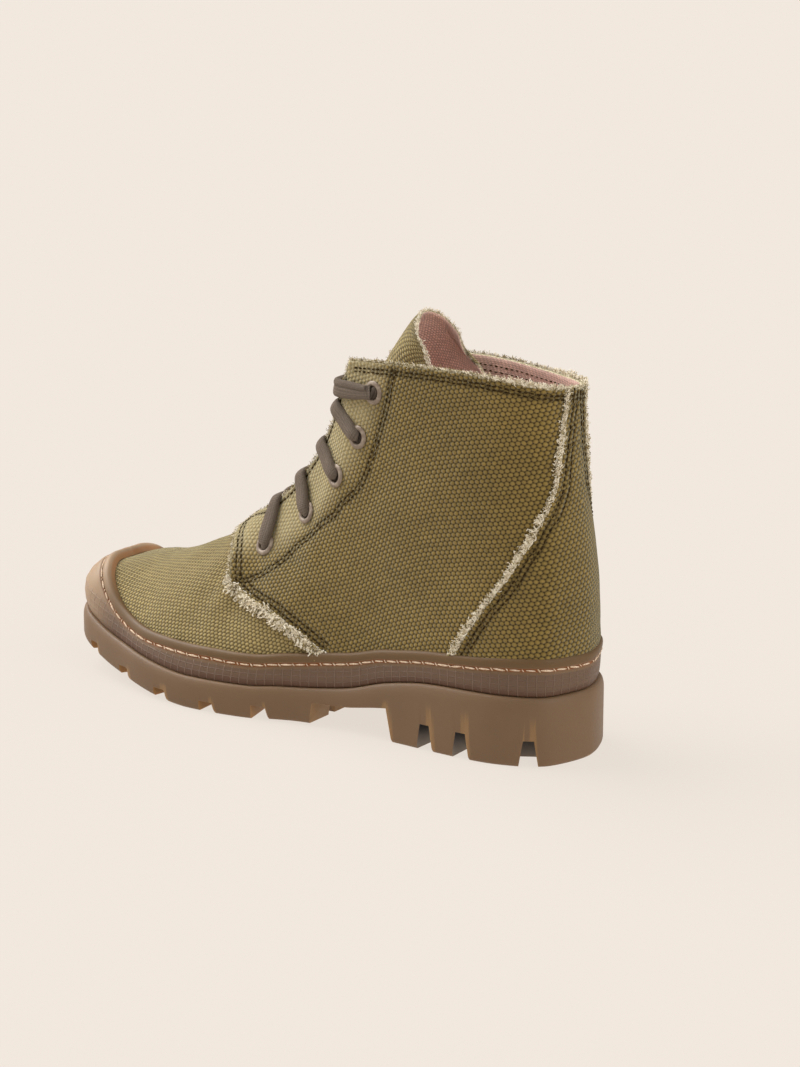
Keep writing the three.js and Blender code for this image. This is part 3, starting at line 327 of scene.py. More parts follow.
def columns(values, place):
    return np.stack([read_list(values[:, k], place) for k in range(3)], -1)


def top_point(u):
    u = np.mod(u, RING)
    outer = (u <= LAST)[..., None]
    s = np.where(u <= LAST, u, RING - u)
    throat = np.where(
        outer,
        columns(OUTER_TOP[CORNER:], s - CORNER),
        columns(INNER_TOP[CORNER:], s - CORNER),
    )
    collar = columns(COLLAR, np.where(u <= LAST, CORNER + s, CORNER - s))
    point = np.where((s >= CORNER)[..., None], throat, collar)
    return np.where((s >= THROAT)[..., None], ridge_point(s), point)


def wall_controls(u):
    """The four control points of each upright section."""
    out = outline_normal(u)
    foot = outline_point(u, FOOT_INSET)
    foot[..., 2] = ledge_z(foot[..., 0]) + CLEARANCE
    top = top_point(u)
    span = np.linalg.norm(top - foot, axis=-1, keepdims=True)
    m = np.mod(u, RING)
    s = np.where(m <= LAST, m, RING - m)
    step = 0.05
    ahead = ridge_point(np.minimum(s + step, LAST))
    behind = ridge_point(np.maximum(s - step, THROAT))
    run = ahead[..., 0] - behind[..., 0]
    slope = (ahead[..., 2] - behind[..., 2]) / np.where(run > 0, run, 1)
    slope = np.where(s >= THROAT, slope, 0)
    tilt = np.radians(read_ring(wall_tilt, u))[..., None]
    lean = np.radians(read_ring(wall_lean, u))[..., None]
    level = unit(np.stack([out[..., 0], out[..., 1], slope * out[..., 0]], -1))
    away = level * np.cos(tilt) + np.array([0, 0, -1.0]) * np.sin(tilt)
    upright = -out * np.sin(lean) + np.array([0, 0, 1.0]) * np.cos(lean)
    low = foot + upright * read_ring(wall_rise, u)[..., None] * span
    high = top + away * read_ring(wall_reach, u)[..., None] * span
    return foot, low, high, top


# The upper's surface, sampled finely once and read between its samples after that
FINE_U = 40
FINE_V = 160
grid_u = np.arange(RING * FINE_U + 1) / FINE_U
_t = np.linspace(0, 1, 201)[None, :, None]
_p = [c[:, None, :] for c in wall_controls(grid_u)]
_curve = ((1 - _t) ** 3 * _p[0] + 3 * _t * (1 - _t) ** 2 * _p[1]
          + 3 * _t ** 2 * (1 - _t) * _p[2] + _t ** 3 * _p[3])
_steps = np.linalg.norm(np.diff(_curve, axis=1), axis=2)
_walk = np.concatenate([np.zeros((len(grid_u), 1)), np.cumsum(_steps, 1)], 1)
wall_length = _walk[:, -1]
_shares = np.linspace(0, 1, FINE_V + 1)
surface = np.stack([
    np.stack([np.interp(_shares * w[-1], w, c[:, k]) for k in range(3)], -1)
    for w, c in zip(_walk, _curve)
])


def smooth_normals(points):
    """Outward directions of the sampled surface; the ridge takes both sides' mean."""
    du = np.roll(points[:-1], -1, 0) - np.roll(points[:-1], 1, 0)
    du = np.concatenate([du, du[:1]])
    dv = np.gradient(points, axis=1)
    normal = unit(np.cross(dv, du))
    probe = normal[5 * FINE_U, FINE_V // 2]
    normal = normal if probe[1] > 0 else -normal
    low = THROAT * FINE_U
    mirror = normal[::-1]
    band = slice(low, RING * FINE_U - low + 1)
    normal[band, -1] = unit(normal[band, -2] + mirror[band, -2])
    return normal


surface_normal = smooth_normals(surface)


def sample(table, u, share):
    """Reads a sampled table at stations u and shares up the wall."""
    at = np.mod(u, RING) * FINE_U
    row = np.clip(share, 0, 1) * FINE_V
    i = np.minimum(np.floor(at).astype(int), len(table) - 2)
    j = np.minimum(np.floor(row).astype(int), FINE_V - 1)
    a = at - i
    b = row - j
    if table.ndim == 3:
        a = a[..., None]
        b = b[..., None]
    return ((table[i, j] * (1 - a) + table[i + 1, j] * a) * (1 - b)
            + (table[i, j + 1] * (1 - a) + table[i + 1, j + 1] * a) * b)


def length_at(u):
    return np.interp(np.mod(u, RING), grid_u, wall_length)


def band_at(u):
    return read_ring(band_height, u)


def on_surface(u, share, offset=0.0):
    normal = unit(sample(surface_normal, u, share))
    return sample(surface, u, share) + normal * np.asarray(offset)[..., None]


# Cloth coordinates in metres. Rows of the side panels run level from the sole up,
# and those of the vamp run along its ridge.
def cloth_table(reference, from_ridge):
    heights = np.linspace(-0.01, 1, FINE_V + 1) * 220.0
    top = wall_length.copy()
    if from_ridge:
        s = np.minimum(grid_u, RING - grid_u)
        top = np.where(s >= THROAT, wall_length, np.interp(THROAT, grid_u, wall_length))
        reach = 2 * FINE_U
        padded = np.pad(top[:-1], reach, mode="wrap")
        top = np.convolve(padded, np.ones(2 * reach + 1) / (2 * reach + 1), "valid")
        top = np.append(top, top[0])
    distance = np.broadcast_to(heights, surface.shape[:2])
    if from_ridge:
        distance = top[:, None] - heights[None]
    share = np.clip(distance / wall_length[:, None], 0, 1)
    points = sample(surface, np.broadcast_to(grid_u[:, None], share.shape), share)
    steps = np.linalg.norm(np.diff(points, axis=0), axis=2)
    walk = np.concatenate([np.zeros((1, FINE_V + 1)), np.cumsum(steps, 0)])
    walk -= walk[int(reference * FINE_U)]
    return heights, top, walk


PANEL_CLOTH = cloth_table(5, False)
VAMP_CLOTH = cloth_table(LAST, True)


def cloth_uv(u, share, vamp=False):
    heights, top, walk = VAMP_CLOTH if vamp else PANEL_CLOTH
    m = np.mod(u, RING)
    distance = share * length_at(u)
    if vamp:
        distance = np.interp(m, grid_u, top) - distance
    rows = np.interp(distance, heights, np.arange(len(heights)))
    i = np.minimum(np.floor(m * FINE_U).astype(int), len(walk) - 2)
    j = np.minimum(np.floor(rows).astype(int), len(heights) - 2)
    a = m * FINE_U - i
    b = rows - j
    across = ((walk[i, j] * (1 - a) + walk[i + 1, j] * a) * (1 - b)
              + (walk[i, j + 1] * (1 - a) + walk[i + 1, j + 1] * a) * b)
    whole_ring = (walk[-1] - walk[0])[j]
    across = across + np.floor(u / RING) * whole_ring
    if vamp:
        inner = m > LAST
        across = np.where(inner, -across, across)
        distance = np.where(inner, -distance, distance)
    return np.stack([across, distance], -1) * MM


# Mesh building
class Shell:
    """Gathers grids of points, in millimetres, into one closed mesh."""

    def __init__(self):
        self.points = []
        self.uvs = []
        self.faces = []
        self.slots = []
        self.marks = {}
        self.count = 0

    def add(self, points, uvs=None, **marks):
        points = np.asarray(points, float)
        flat = points.reshape(-1, 3)
        self.points.append(flat)
        self.uvs.append(np.zeros((len(flat), 2)) if uvs is None else np.asarray(uvs).reshape(-1, 2))
        for name, values in marks.items():
            spread = np.broadcast_to(values, points.shape[:-1]).reshape(-1)
            self.marks.setdefault(name, []).append((self.count, spread))
        index = np.arange(len(flat)).reshape(points.shape[:-1]) + self.count
        self.count += len(flat)
        return index

    def grid(self, index, closed=False, slot=0):
        rows = np.concatenate([index, index[:1]]) if closed else index
        corners = [rows[:-1, :-1], rows[:-1, 1:], rows[1:, 1:], rows[1:, :-1]]
        for quad in np.stack(corners, -1).reshape(-1, 4).tolist():
            face = [corner for k, corner in enumerate(quad) if corner != quad[k - 1]]
            if len(face) > 2:
                self.faces.append(face)
                self.slots.append(slot)

    def strip(self, first, second, closed=False, slot=0):
        self.grid(np.stack([first, second], 1), closed, slot)

    def build(self, name, merge=2e-6):
        mesh = bpy.data.meshes.new(name)
        mesh.from_pydata(placed(np.concatenate(self.points)).tolist(), [], self.faces)
        index = np.empty(len(mesh.loops), int)
        mesh.loops.foreach_get("vertex_index", index)
        layer = mesh.uv_layers.new(name="cloth")
        layer.data.foreach_set("uv", np.concatenate(self.uvs)[index].ravel())
        for mark, parts in self.marks.items():
            values = np.zeros(self.count)
            for start, part in parts:
                values[start:start + len(part)] = part
            attribute = mesh.attributes.new(mark, "FLOAT", "POINT")
            attribute.data.foreach_set("value", values)
        mesh.polygons.foreach_set("material_index", self.slots)
        mesh.polygons.foreach_set("use_smooth", [True] * len(mesh.polygons))
        solid = bmesh.new()
        solid.from_mesh(mesh)
        bmesh.ops.remove_doubles(solid, verts=solid.verts, dist=merge)
        bmesh.ops.dissolve_degenerate(solid, edges=solid.edges, dist=merge / 4)
        bmesh.ops.recalc_face_normals(solid, faces=solid.faces)
        solid.to_mesh(mesh)
        solid.free()
        return link(name, mesh)


def link(name, mesh):
    piece = bpy.data.objects.new(name, mesh)
    bpy.context.scene.collection.objects.link(piece)
    return piece


def sharpen(piece, angle=35):
    """Keeps edges crisp where two faces meet at more than the angle."""
    piece.data.set_sharp_from_angle(angle=math.radians(angle))


def settle(piece):
    """Turns a piece with modifiers into a plain mesh."""
    evaluated = piece.evaluated_get(bpy.context.evaluated_depsgraph_get())
    mesh = bpy.data.meshes.new_from_object(evaluated)
    piece.modifiers.clear()
    piece.data = mesh
    return piece


def carve(piece, tools):
    """Cuts closed tools out of a closed piece."""
    for tool in tools:
        cutter = piece.modifiers.new("cut", "BOOLEAN")
        cutter.operation = "DIFFERENCE"
        cutter.solver = "EXACT"
        cutter.object = tool
    settle(piece)
    for tool in tools:
        bpy.data.objects.remove(tool)
    return piece


def dress(piece, *materials):
    for material in materials:
        piece.data.materials.append(material)
    return piece


def mount(piece, slot, *nodes):
    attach(piece, "root")
    if nodes:
        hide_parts(*nodes)
    return piece


# Edges of the side panels, seen from the side
def edge_x(line, shift, z):
    order = np.argsort(line[:, 1])
    return np.interp(z, line[order, 1] * COLLAR_HEIGHT, line[order, 0] * SOLE_LENGTH + shift)


def row_share(u, b, tuck=1.0):
    """Share up the wall of a panel row, b running from the rubber band to the top."""
    return lerp((band_at(u) - tuck) / length_at(u), 1.0, b)


def meets(line, shift, b, outer, low, high):
    """Station at which a panel row crosses an edge line."""
    s = np.linspace(low, high, 500)
    u = s if outer else RING - s
    point = sample(surface, u, row_share(u, b))
    gap = point[:, 0] - edge_x(line, shift, point[:, 2])
    k = max(int(np.argmax(gap > 0)), 1)
    t = np.clip(gap[k - 1] / (gap[k - 1] - gap[k]), 0, 1)
    return lerp(s[k - 1], s[k], t)


def round_distance(u, share, centre_u, centre_share):
    """Distance in millimetres along the surface from a station and share."""
    point = sample(surface, u, share)
    centre = sample(surface, np.array(centre_u), np.array(centre_share))
    return np.linalg.norm(point - centre, axis=-1)


# Soft forms of the worn canvas: station, share, depth, length, width and turn
CREASES_OUTER = np.array([
    (9.3, 0.40, -0.75, 26, 5, 25), (9.9, 0.52, 0.55, 22, 6, 30), (10.6, 0.36, -0.6, 20, 5, 40),
    (6.3, 0.45, -0.5, 34, 8, -20), (5.2, 0.60, 0.5, 36, 10, -35), (3.9, 0.42, -0.45, 26, 7, -10),
    (7.4, 0.30, 0.5, 28, 8, 10), (5.6, 0.85, -0.4, 24, 7, 5), (7.0, 0.62, -0.45, 18, 5, -60),
])


def swells(u, share, creases):
    """Soft troughs and ridges of the cloth, in millimetres."""
    point = sample(surface, u, share)
    total = np.zeros(np.shape(u))
    for station, place, depth, length, width, turn in creases:
        side = np.where(np.mod(u, RING) <= LAST, 1.0, -1.0)
        centre = sample(surface, np.array(station), np.array(place))
        ahead = point[..., 0] - centre[0]
        up = point[..., 2] - centre[2]
        c, s = math.cos(math.radians(turn)), math.sin(math.radians(turn))
        along = c * ahead + s * up
        across = -s * ahead + c * up
        fade = np.exp(-(along / length) ** 2 - (across / width) ** 2)
        total += depth * fade * np.where(side > 0, 1.0, 0.8)
    return total


def undulation(u, share):
    x = sample(surface, u, share)
    wave = np.sin(x[..., 0] * 0.071 + 1.3) * np.sin(x[..., 2] * 0.083 + 0.4)
    fine = np.sin(x[..., 0] * 0.19 + x[..., 2] * 0.11) * np.sin(x[..., 2] * 0.23 - 1.0)
    return 0.28 * wave + 0.10 * fine


def seat_dips(u, share):
    """Presses the cloth flat round each eyelet."""
    total = np.zeros(np.shape(u))
    for station, place in EYELETS:
        for centre in (station, RING - station):
            away = round_distance(u, share, centre, place)
            total -= 0.35 * np.exp(-(away / 8.0) ** 2)
    return total


def top_hold(share, length):
    """Keeps the top edge in place, where the seams hold it."""
    return smoothstep((1 - share) * length, 0.0, 10.0)


def cloth_relief(u, share):
    length = length_at(u)
    hold = top_hold(share, length) * smoothstep(share * length - band_at(u), 0, 8)
    soft = (swells(u, share, CREASES_OUTER) + undulation(u, share)) * hold
    return soft + seat_dips(u, share) + seam_dips(u, share)


# Distances from the throat over which the canvas turns from its paler colour, partly bleaching and
# partly painted light on the eyestay, to its full colour
BLEACH_AND_LIGHT_SPAN = (16, 30)


def from_throat(points):
    """Distance in millimetres of each point from the throat's two edges."""
    s = np.linspace(8.2, 13.0, 40)
    line = np.concatenate([top_point(s), top_point(RING - s)])
    return np.min(np.linalg.norm(points[..., None, :] - line, axis=-1), axis=-1)


def panel(name, u, share, inside, outside, edge):
    """Closed cloth panel over a grid of stations and shares, between two offsets."""
    shell = Shell()
    lift = cloth_relief(u, share)
    uv = cloth_uv(u, share)
    rounding = 0.45 * (outside - inside) * (1 - smoothstep(edge, 0, 0.7)) ** 2
    # Weight of the painted shade in the valleys along the stitch rows
    seam = -seam_dips(u, share) / SEAM_DEPTH
    # Paler toward the throat: partly bleached cloth, partly painted light
    wash = 1 - smoothstep(from_throat(sample(surface, u, share)), *BLEACH_AND_LIGHT_SPAN)
    face = on_surface(u, share, outside + lift - rounding)
    lining_face = on_surface(u, share, inside + np.minimum(lift, 0.2))
    out = shell.add(face, uv, edge=edge, seam=seam, wash=wash)
    back = shell.add(lining_face, uv, edge=edge, seam=0.0, wash=0.0)
    shell.grid(out)
    shell.grid(back)
    for side in ((slice(None), 0), (slice(None), -1), (0,), (-1,)):
        shell.strip(out[side], back[side])
    return shell.build(name)


def grid_edges(points, sides):
    """Distance in millimetres of each grid point from the named sides of its grid."""
    across = np.linalg.norm(np.diff(points, axis=0), axis=2)
    upward = np.linalg.norm(np.diff(points, axis=1), axis=2)
    walk_across = np.concatenate([np.zeros((1, points.shape[1])), np.cumsum(across, 0)])
    walk_up = np.concatenate([np.zeros((points.shape[0], 1)), np.cumsum(upward, 1)], 1)
    choices = {
        "first": walk_across,
        "last": walk_across[-1:] - walk_across,
        "top": walk_up[:, -1:] - walk_up,
    }
    return np.min([choices[side] for side in sides], axis=0)


def eased(count, ends=0.35):
    """Even steps from 0 to 1, closer together at both ends."""
    t = np.linspace(0, 1, count)
    return lerp(t, t * t * (3 - 2 * t), ends)


PANEL_ROWS = eased(104)
# Stations between which the two edge lines are looked for
COUNTER_SPAN = (0.2, 7.6)
QUARTER_SPAN = (8.05, 17.0)


def edge_stations(line, shift, outer, span):
    return np.array([meets(line, shift, b, outer, *span) for b in PANEL_ROWS])


def quarter_grid(outer):
    back = edge_stations(COUNTER_FRONT, CLEARANCE, outer, COUNTER_SPAN)
    front = edge_stations(QUARTER_FRONT, 0, outer, QUARTER_SPAN)
    near = back[None] + (CORNER - back)[None] * eased(72)[:, None]
    far = CORNER + (front - CORNER)[None] * eased(80)[1:, None]
    s = np.concatenate([near, far])
    u = s if outer else RING - s
    return u, row_share(u, PANEL_ROWS[None])


def quarter(outer):
    u, share = quarter_grid(outer)
    edge = grid_edges(sample(surface, u, share), ("last", "top"))
    name = "quarter_side_outer" if outer else "quarter_side_inner"
    return panel(name, u, share, CLEARANCE, CLEARANCE + PANEL_THICKNESS, edge)


def counter_grid():
    outer = edge_stations(COUNTER_FRONT, 0, True, COUNTER_SPAN)
    inner = edge_stations(COUNTER_FRONT, 0, False, COUNTER_SPAN)
    t = np.linspace(-1, 1, 121)[:, None]
    u = np.where(t >= 0, outer[None] * t, inner[None] * t)
    return u, row_share(u, PANEL_ROWS[None])


def heel_counter():
    u, share = counter_grid()
    edge = grid_edges(sample(surface, u, share), ("first", "last", "top"))
    return panel("heel_panel", u, share, CLEARANCE, CLEARANCE + COUNTER_THICKNESS, edge)


def upper_body():
    """Hollow body of the upper: canvas outside, lining inside, open at foot and throat."""
    runs = [(0, CORNER, 70), (CORNER, THROAT, 50), (THROAT, LAST, 110)]
    side = np.concatenate([np.linspace(a, b, n, endpoint=False) for a, b, n in runs] + [[LAST]])
    u = np.concatenate([side, RING - side[::-1] + 1e-7 * (side[::-1] == LAST)])[:, None]
    share = eased(58, 0.3)[None]
    u, share = np.broadcast_arrays(u, share)
    u = np.minimum(u, RING - 1e-9)
    length = length_at(u)
    forward = smoothstep(np.minimum(u, RING - u), 10.5, 12.5)
    hold = smoothstep(share * length - band_at(u), 0, 8) * forward
    lift = vamp_relief(u, share) * hold
    shell = Shell()
    points = on_surface(u, share, lift)
    closed = smoothstep(np.minimum(u, RING - u), THROAT - 0.3, THROAT + 0.1)
    edge = (1 - share) * length + 20 * closed
    out = shell.add(points, cloth_uv(u, share, True), edge=edge)
    back = shell.add(on_surface(u, share, -UPPER_WALL), cloth_uv(u, share), edge=edge)
    shell.grid(out)
    shell.grid(back, slot=1)
    shell.strip(out[:, 0], back[:, 0])
    open_top = np.flatnonzero(np.minimum(u[:, 0], RING - u[:, 0]) <= THROAT + 1e-6)
    split = np.flatnonzero(np.diff(open_top) > 1)[0] + 1
    for part in (open_top[:split], open_top[split:]):
        shell.strip(out[part, -1], back[part, -1], slot=2)
    return shell.build("upper_body")


CREASES_VAMP = np.array([
    (13.9, 0.80, -0.8, 14, 5, -40), (14.6, 0.70, -0.6, 16, 5, -35), (13.0, 0.50, -0.6, 18, 5, -50),
    (15.4, 0.75, 0.4, 20, 7, -30), (12.4, 0.34, -0.4, 18, 6, -20),
])


def vamp_relief(u, share):
    """Flex creases across the vamp, behind the toe."""
    return swells(u, share, CREASES_VAMP) + 0.8 * undulation(u, share)


# Rubber band round the foot of the upper
def even_stations(count):
    """Stations at even steps along the sole's outline."""
    fine = np.linspace(0, RING, 4001)
    walk = walked(outline_point(fine))
    return np.interp(np.linspace(0, walk[-1], count, endpoint=False), walk, fine), walk[-1]


# Shares of the sole's length over which the band swells to the toe cap, and over which painted
# light makes it lighter there
BUMPER_SPAN = (0.84, 0.97)
TOE_COLOUR_SPAN = (0.86, 0.96)


def toe_share(u):
    """0 along the band's sides and 1 round the toe cap."""
    return smoothstep(outline_point(u)[..., 0] / SOLE_LENGTH, *BUMPER_SPAN)


def foxing_section(u):
    """The band's profile at each station: height up the wall and distance out from it."""
    band = band_at(u)
    toe = toe_share(u)
    body = lerp(BAND_THICKNESS + CLEARANCE, BUMPER_THICKNESS, toe)
    lip = lerp(LIP_THICKNESS, TOE_LIP_THICKNESS, toe)
    seam = band - LIP_WIDTH
    half = GROOVE_WIDTH / 2
    floor = lip - GROOVE_DEPTH
    bulge = 0.5 * toe
    rows = [
        (0.0 * band, BAND_THICKNESS - 0.6 + 0 * band),
        (0.02 * band, BAND_THICKNESS - 0.15 + 0 * band),
        (0.05 * band, BAND_THICKNESS + 0 * band), (0.18 * seam, lerp(BAND_THICKNESS, body, 0.5)),
        (0.33 * seam, lerp(BAND_THICKNESS, body, 0.85)), (0.5 * seam, body + bulge),
        (0.68 * seam, body + bulge), (seam - half - 1.2, body + 0.3 * bulge),
        (seam - half - 0.3, body - 0.1), (seam - 0.55 * half, lerp(floor, body, 0.4)),
        (seam - 0.2 * half, floor), (seam + 0.2 * half, floor),
        (seam + 0.55 * half, lerp(floor, lip, 0.5)), (seam + half + 0.1, lip - 0.12),
        (seam + half + 0.8, lip + 0.05), (band - 0.45 * LIP_WIDTH, lip + 0.1),
        (band - 0.26 * LIP_WIDTH, lip - 0.02), (band - 0.13 * LIP_WIDTH, 0.86 * lip),
        (band - 0.05 * LIP_WIDTH, 0.68 * lip), (band, 0.5 * lip), (band, CLEARANCE + 0 * band),
        (0.66 * band, CLEARANCE + 0 * band), (0.33 * band, CLEARANCE + 0 * band),
        (0 * band, CLEARANCE + 0 * band),
    ]
    return np.stack([r[0] for r in rows], 1), np.stack([r[1] for r in rows], 1)


def foxing():
    u, around = even_stations(520)
    up, out = foxing_section(u)
    station = np.broadcast_to(u[:, None], up.shape)
    points = on_surface(station, up / length_at(station), out)
    foot = up == 0
    points[..., 2] = np.where(foot, ledge_z(points[..., 0]) + CLEARANCE, points[..., 2])
    points = np.concatenate([points, points[:1]])
    up = np.concatenate([up, up[:1]])
    walk = np.linspace(0, around, len(u) + 1)[:, None] * np.ones_like(up)
    seam = (np.append(band_at(u), band_at(u[:1])) - LIP_WIDTH)[:, None]
    toe = smoothstep(points[:, :1, 0] / SOLE_LENGTH, *TOE_COLOUR_SPAN)
    shell = Shell()
    index = shell.add(points, np.stack([walk, up], -1) * MM, below=seam - up, toe=toe)
    shell.grid(np.concatenate([index, index[:, :1]], 1))
    piece = shell.build("foxing_band")
    sharpen(piece, 50)
    return piece


# Outsole
def closed_tool(points, faces, slot=0):
    """Closed cutting tool whose walls take the slot."""
    mesh = bpy.data.meshes.new("tool")
    mesh.from_pydata(placed(points).tolist(), [], faces)
    mesh.polygons.foreach_set("material_index", [slot] * len(faces))
    solid = bmesh.new()
    solid.from_mesh(mesh)
    bmesh.ops.recalc_face_normals(solid, faces=solid.faces)
    solid.to_mesh(mesh)
    solid.free()
    return link("tool", mesh)


def prism_tool(points):
    """Closed tool between two like rings of points, the second after the first."""
    n = len(points) // 2
    faces = [tuple(range(n)), tuple(range(2 * n - 1, n - 1, -1))]
    faces += [(i, i + n, (i + 1) % n + n, (i + 1) % n) for i in range(n)]
    return closed_tool(points, faces)


def box_along(sections, slot=0):
    """Closed tool of quads through sections of four corners."""
    points = [corner for section in sections for corner in section]
    faces = []
    for k in range(len(sections) - 1):
        for i in range(4):
            j = (i + 1) % 4
            faces.append((4 * k + i, 4 * k + j, 4 * k + 4 + j, 4 * k + 4 + i))
    last = 4 * (len(sections) - 1)
    faces += [(3, 2, 1, 0), (last, last + 1, last + 2, last + 3)]
    return closed_tool(points, faces, slot)


# How far the cutting tools reach under the tread and past the sole's side
CUT_DEPTH = 8.0
CUT_BEYOND = 6
BREAST_SLANT = 3
CHANNEL_PLACES = (0.40, 0.48, 0.56, 0.64, 0.72, 0.79, 0.85)


def place_at(along, outer):
    s = np.linspace(0, LAST, 4001)
    place = np.interp(along * SOLE_LENGTH, read_ring(outline_x, s), s)
    return place if outer else RING - place


def flat_point(u, inset):
    return outline_point(np.array([u]), np.array([inset]))[0, :2]


def lug_gap(along):
    reach = min(GAP_REACH, 0.62 * GAP_REACH + (1 - along) * 0.55 * BALL_WIDTH)
    outer, inner = place_at(along, True), place_at(along, False)
    middle = np.array([along * SOLE_LENGTH - GAP_SLANT, 0.0])
    path = np.array([
        flat_point(outer, -CUT_BEYOND), flat_point(outer, reach), middle,
        flat_point(inner, reach), flat_point(inner, -CUT_BEYOND),
    ])
    half = GAP_WIDTH / 2
    foot = half + 1.5 * GAP_SLANT
    sections = []
    for k, point in enumerate(path):
        ahead = unit(path[min(k + 1, 4)] - path[max(k - 1, 0)])
        to_toe = np.array([-ahead[1], ahead[0]])
        to_toe = to_toe if to_toe[0] > 0 else -to_toe
        top = web_z(point[0])
        sections.append([
            (*(point + to_toe * half), top), (*(point - to_toe * half), top),
            (*(point - to_toe * foot), -CUT_DEPTH), (*(point + to_toe * half), -CUT_DEPTH),
        ])
    return box_along(sections, slot=2)


def lug_channel(outer):
    half = CHANNEL_WIDTH / 2
    sections = []
    for along in CHANNEL_PLACES:
        x, y = flat_point(place_at(along, outer), 0)
        top = web_z(x) + 0.4
        y = y * 0.5
        sections.append([
            (x, y + half, top), (x, y - half, top),
            (x, y - half, -CUT_DEPTH), (x, y + half, -CUT_DEPTH),
        ])
    return box_along(sections)


def heel_notch(along, outer):
    u = place_at(along, outer)
    path = [flat_point(u, -CUT_BEYOND), flat_point(u, NOTCH_REACH)]
    ahead = unit(path[1] - path[0])
    across = np.array([-ahead[1], ahead[0]])
    half = NOTCH_WIDTH / 2
    foot = half + NOTCH_FLARE * (1 + CUT_DEPTH / NOTCH_HEIGHT)
    sections = [[
        (*(p + across * half), NOTCH_HEIGHT), (*(p - across * half), NOTCH_HEIGHT),
        (*(p - across * foot), -CUT_DEPTH), (*(p + across * foot), -CUT_DEPTH),
    ] for p in path]
    return box_along(sections, slot=1)


def waist_gap():
    heel, end = HEEL_BREAST * SOLE_LENGTH, WAIST_END * SOLE_LENGTH
    half = BALL_WIDTH
    points = [(heel - BREAST_SLANT, -CUT_DEPTH)]
    points += [(x, float(web_z(x))) for x in np.linspace(heel + 2, end, 13)]
    points.append((end + BREAST_SLANT, -CUT_DEPTH))
    return prism_tool([(x, y, z) for y in (-half, half) for x, z in points])


def across_pairs(ring):
    """The two sides of a closed ring, point against point, from its start to its far end."""
    n = len(ring)
    half = n // 2
    return ring[:half + 1], ring[(n - np.arange(half + 1)) % n]


# Widest the sole's cut edges are rounded, in metres
SOFT_EDGE = 0.0007


def outsole():
    u = even_stations(420)[0]
    turn = np.radians(np.linspace(0, 90, 8))
    levels = [
        (TREAD_CHAMFER, 0.0, 0), (0.5 * TREAD_CHAMFER, 0.6, 0),
        (0.15 * TREAD_CHAMFER, 1.4, 0), (0.0, 2 * TREAD_CHAMFER, 0),
    ]
    levels += [(BAND_INSET * (1 - math.cos(t)), -RIM_ROUNDING * (1 - math.sin(t)), 1)
               for t in turn]
    rings = []
    for inset, z, from_ledge in levels:
        ring = outline_point(u, np.full(len(u), inset))
        ring[:, 2] = (ledge_z(ring[:, 0]) if from_ledge else tread_z(ring[:, 0])) + z
        rings.append(ring)
    points = np.stack(rings, 1)
    shell = Shell()
    index = shell.add(points)
    shell.grid(index, closed=True)
    for row in (0, -1):
        shell.strip(*across_pairs(index[:, row]))
    piece = dress(shell.build("sole_unit"), sole_rubber, notch_painted_shade, lug_gap_light_and_shade)
    tools = [waist_gap(), lug_channel(True), lug_channel(False)]
    tools += [lug_gap(along) for along in LUG_GAPS]
    tools += [heel_notch(along, side) for side in (True, False) for along in HEEL_NOTCHES]
    carve(piece, tools)
    bevel = piece.modifiers.new("soft edges", "BEVEL")
    bevel.width = SOFT_EDGE
    bevel.segments = 2
    bevel.limit_method = "ANGLE"
    bevel.angle_limit = math.radians(35)
    settle(piece)
    piece.data.polygons.foreach_set("use_smooth", [True] * len(piece.data.polygons))
    sharpen(piece, 40)
    return piece


# Sections of the insole's edge: share of its thickness and inset
INSOLE_EDGE = ((0, 0), (0.6, 0), (0.9, 0.4), (1, 1.3))


def insole():
    u = even_stations(240)[0]
    rings = []
    for share, inset in INSOLE_EDGE:
        rise = share * INSOLE_THICKNESS
        point = sample(surface, u, rise / length_at(u))
        point = point - outline_normal(u) * (UPPER_WALL + 2 * CLEARANCE + inset)
        point[:, 2] = ledge_z(point[:, 0]) + CLEARANCE + rise
        rings.append(point)
    shell = Shell()
    points = np.stack(rings, 1)
    index = shell.add(points, points[..., :2] * MM)
    shell.grid(index, closed=True)
    t = np.linspace(0, 1, 17)[None, :, None]
    for row in (0, -1):
        left, right = across_pairs(points[:, row])
        lid = left[:, None] * (1 - t) + right[:, None] * t
        shell.grid(shell.add(lid, lid[..., :2] * MM))
    return shell.build("footbed")


# Tongue: rows and columns of its grid, its front's middle and the first free row
TONGUE_GRID = (110, 72)
TONGUE_MIDDLE = (60, 36)
TONGUE_FREE = 55


def tongue_rows(rows, columns_count):
    xs = TONGUE[:, 0] * SOLE_LENGTH
    zs = INSTEP_HEIGHT + TONGUE[:, 1] * TONGUE_RISE
    radii, halves = TONGUE[:, 2] * COLLAR_WIDTH, TONGUE[:, 3] * COLLAR_WIDTH
    asides, turns = -TONGUE[:, 4] * COLLAR_WIDTH, -TONGUE[:, 5] * COLLAR_WIDTH
    at = np.linspace(0, len(TONGUE) - 1, rows)[:, None]
    step = 0.02
    dx = read_list(xs, at + step) - read_list(xs, at - step)
    dz = read_list(zs, at + step) - read_list(zs, at - step)
    back = unit(np.concatenate([-dz, 0 * dz, dx], 1))[:, None]
    radius = read_list(radii, at)
    c = np.linspace(-1, 1, columns_count)[None]
    reach = read_list(turns, at) + read_list(halves, at) * -c
    bend = np.minimum(np.abs(reach), radius * math.pi / 2)
    straight = np.abs(reach) - bend
    side = np.sign(reach) * radius * np.sin(bend / radius)
    depth = radius * (1 - np.cos(bend / radius)) + straight
    base = np.stack([
        np.broadcast_to(read_list(xs, at), depth.shape),
        read_list(asides, at) + side,
        np.broadcast_to(read_list(zs, at), depth.shape),
    ], -1)
    return base + back * depth[..., None]


def tongue_normals(points):
    """Directions out of the tongue's front."""
    normal = unit(np.cross(np.gradient(points, axis=0), np.gradient(points, axis=1)))
    return normal if normal[TONGUE_MIDDLE][0] > 0 else -normal


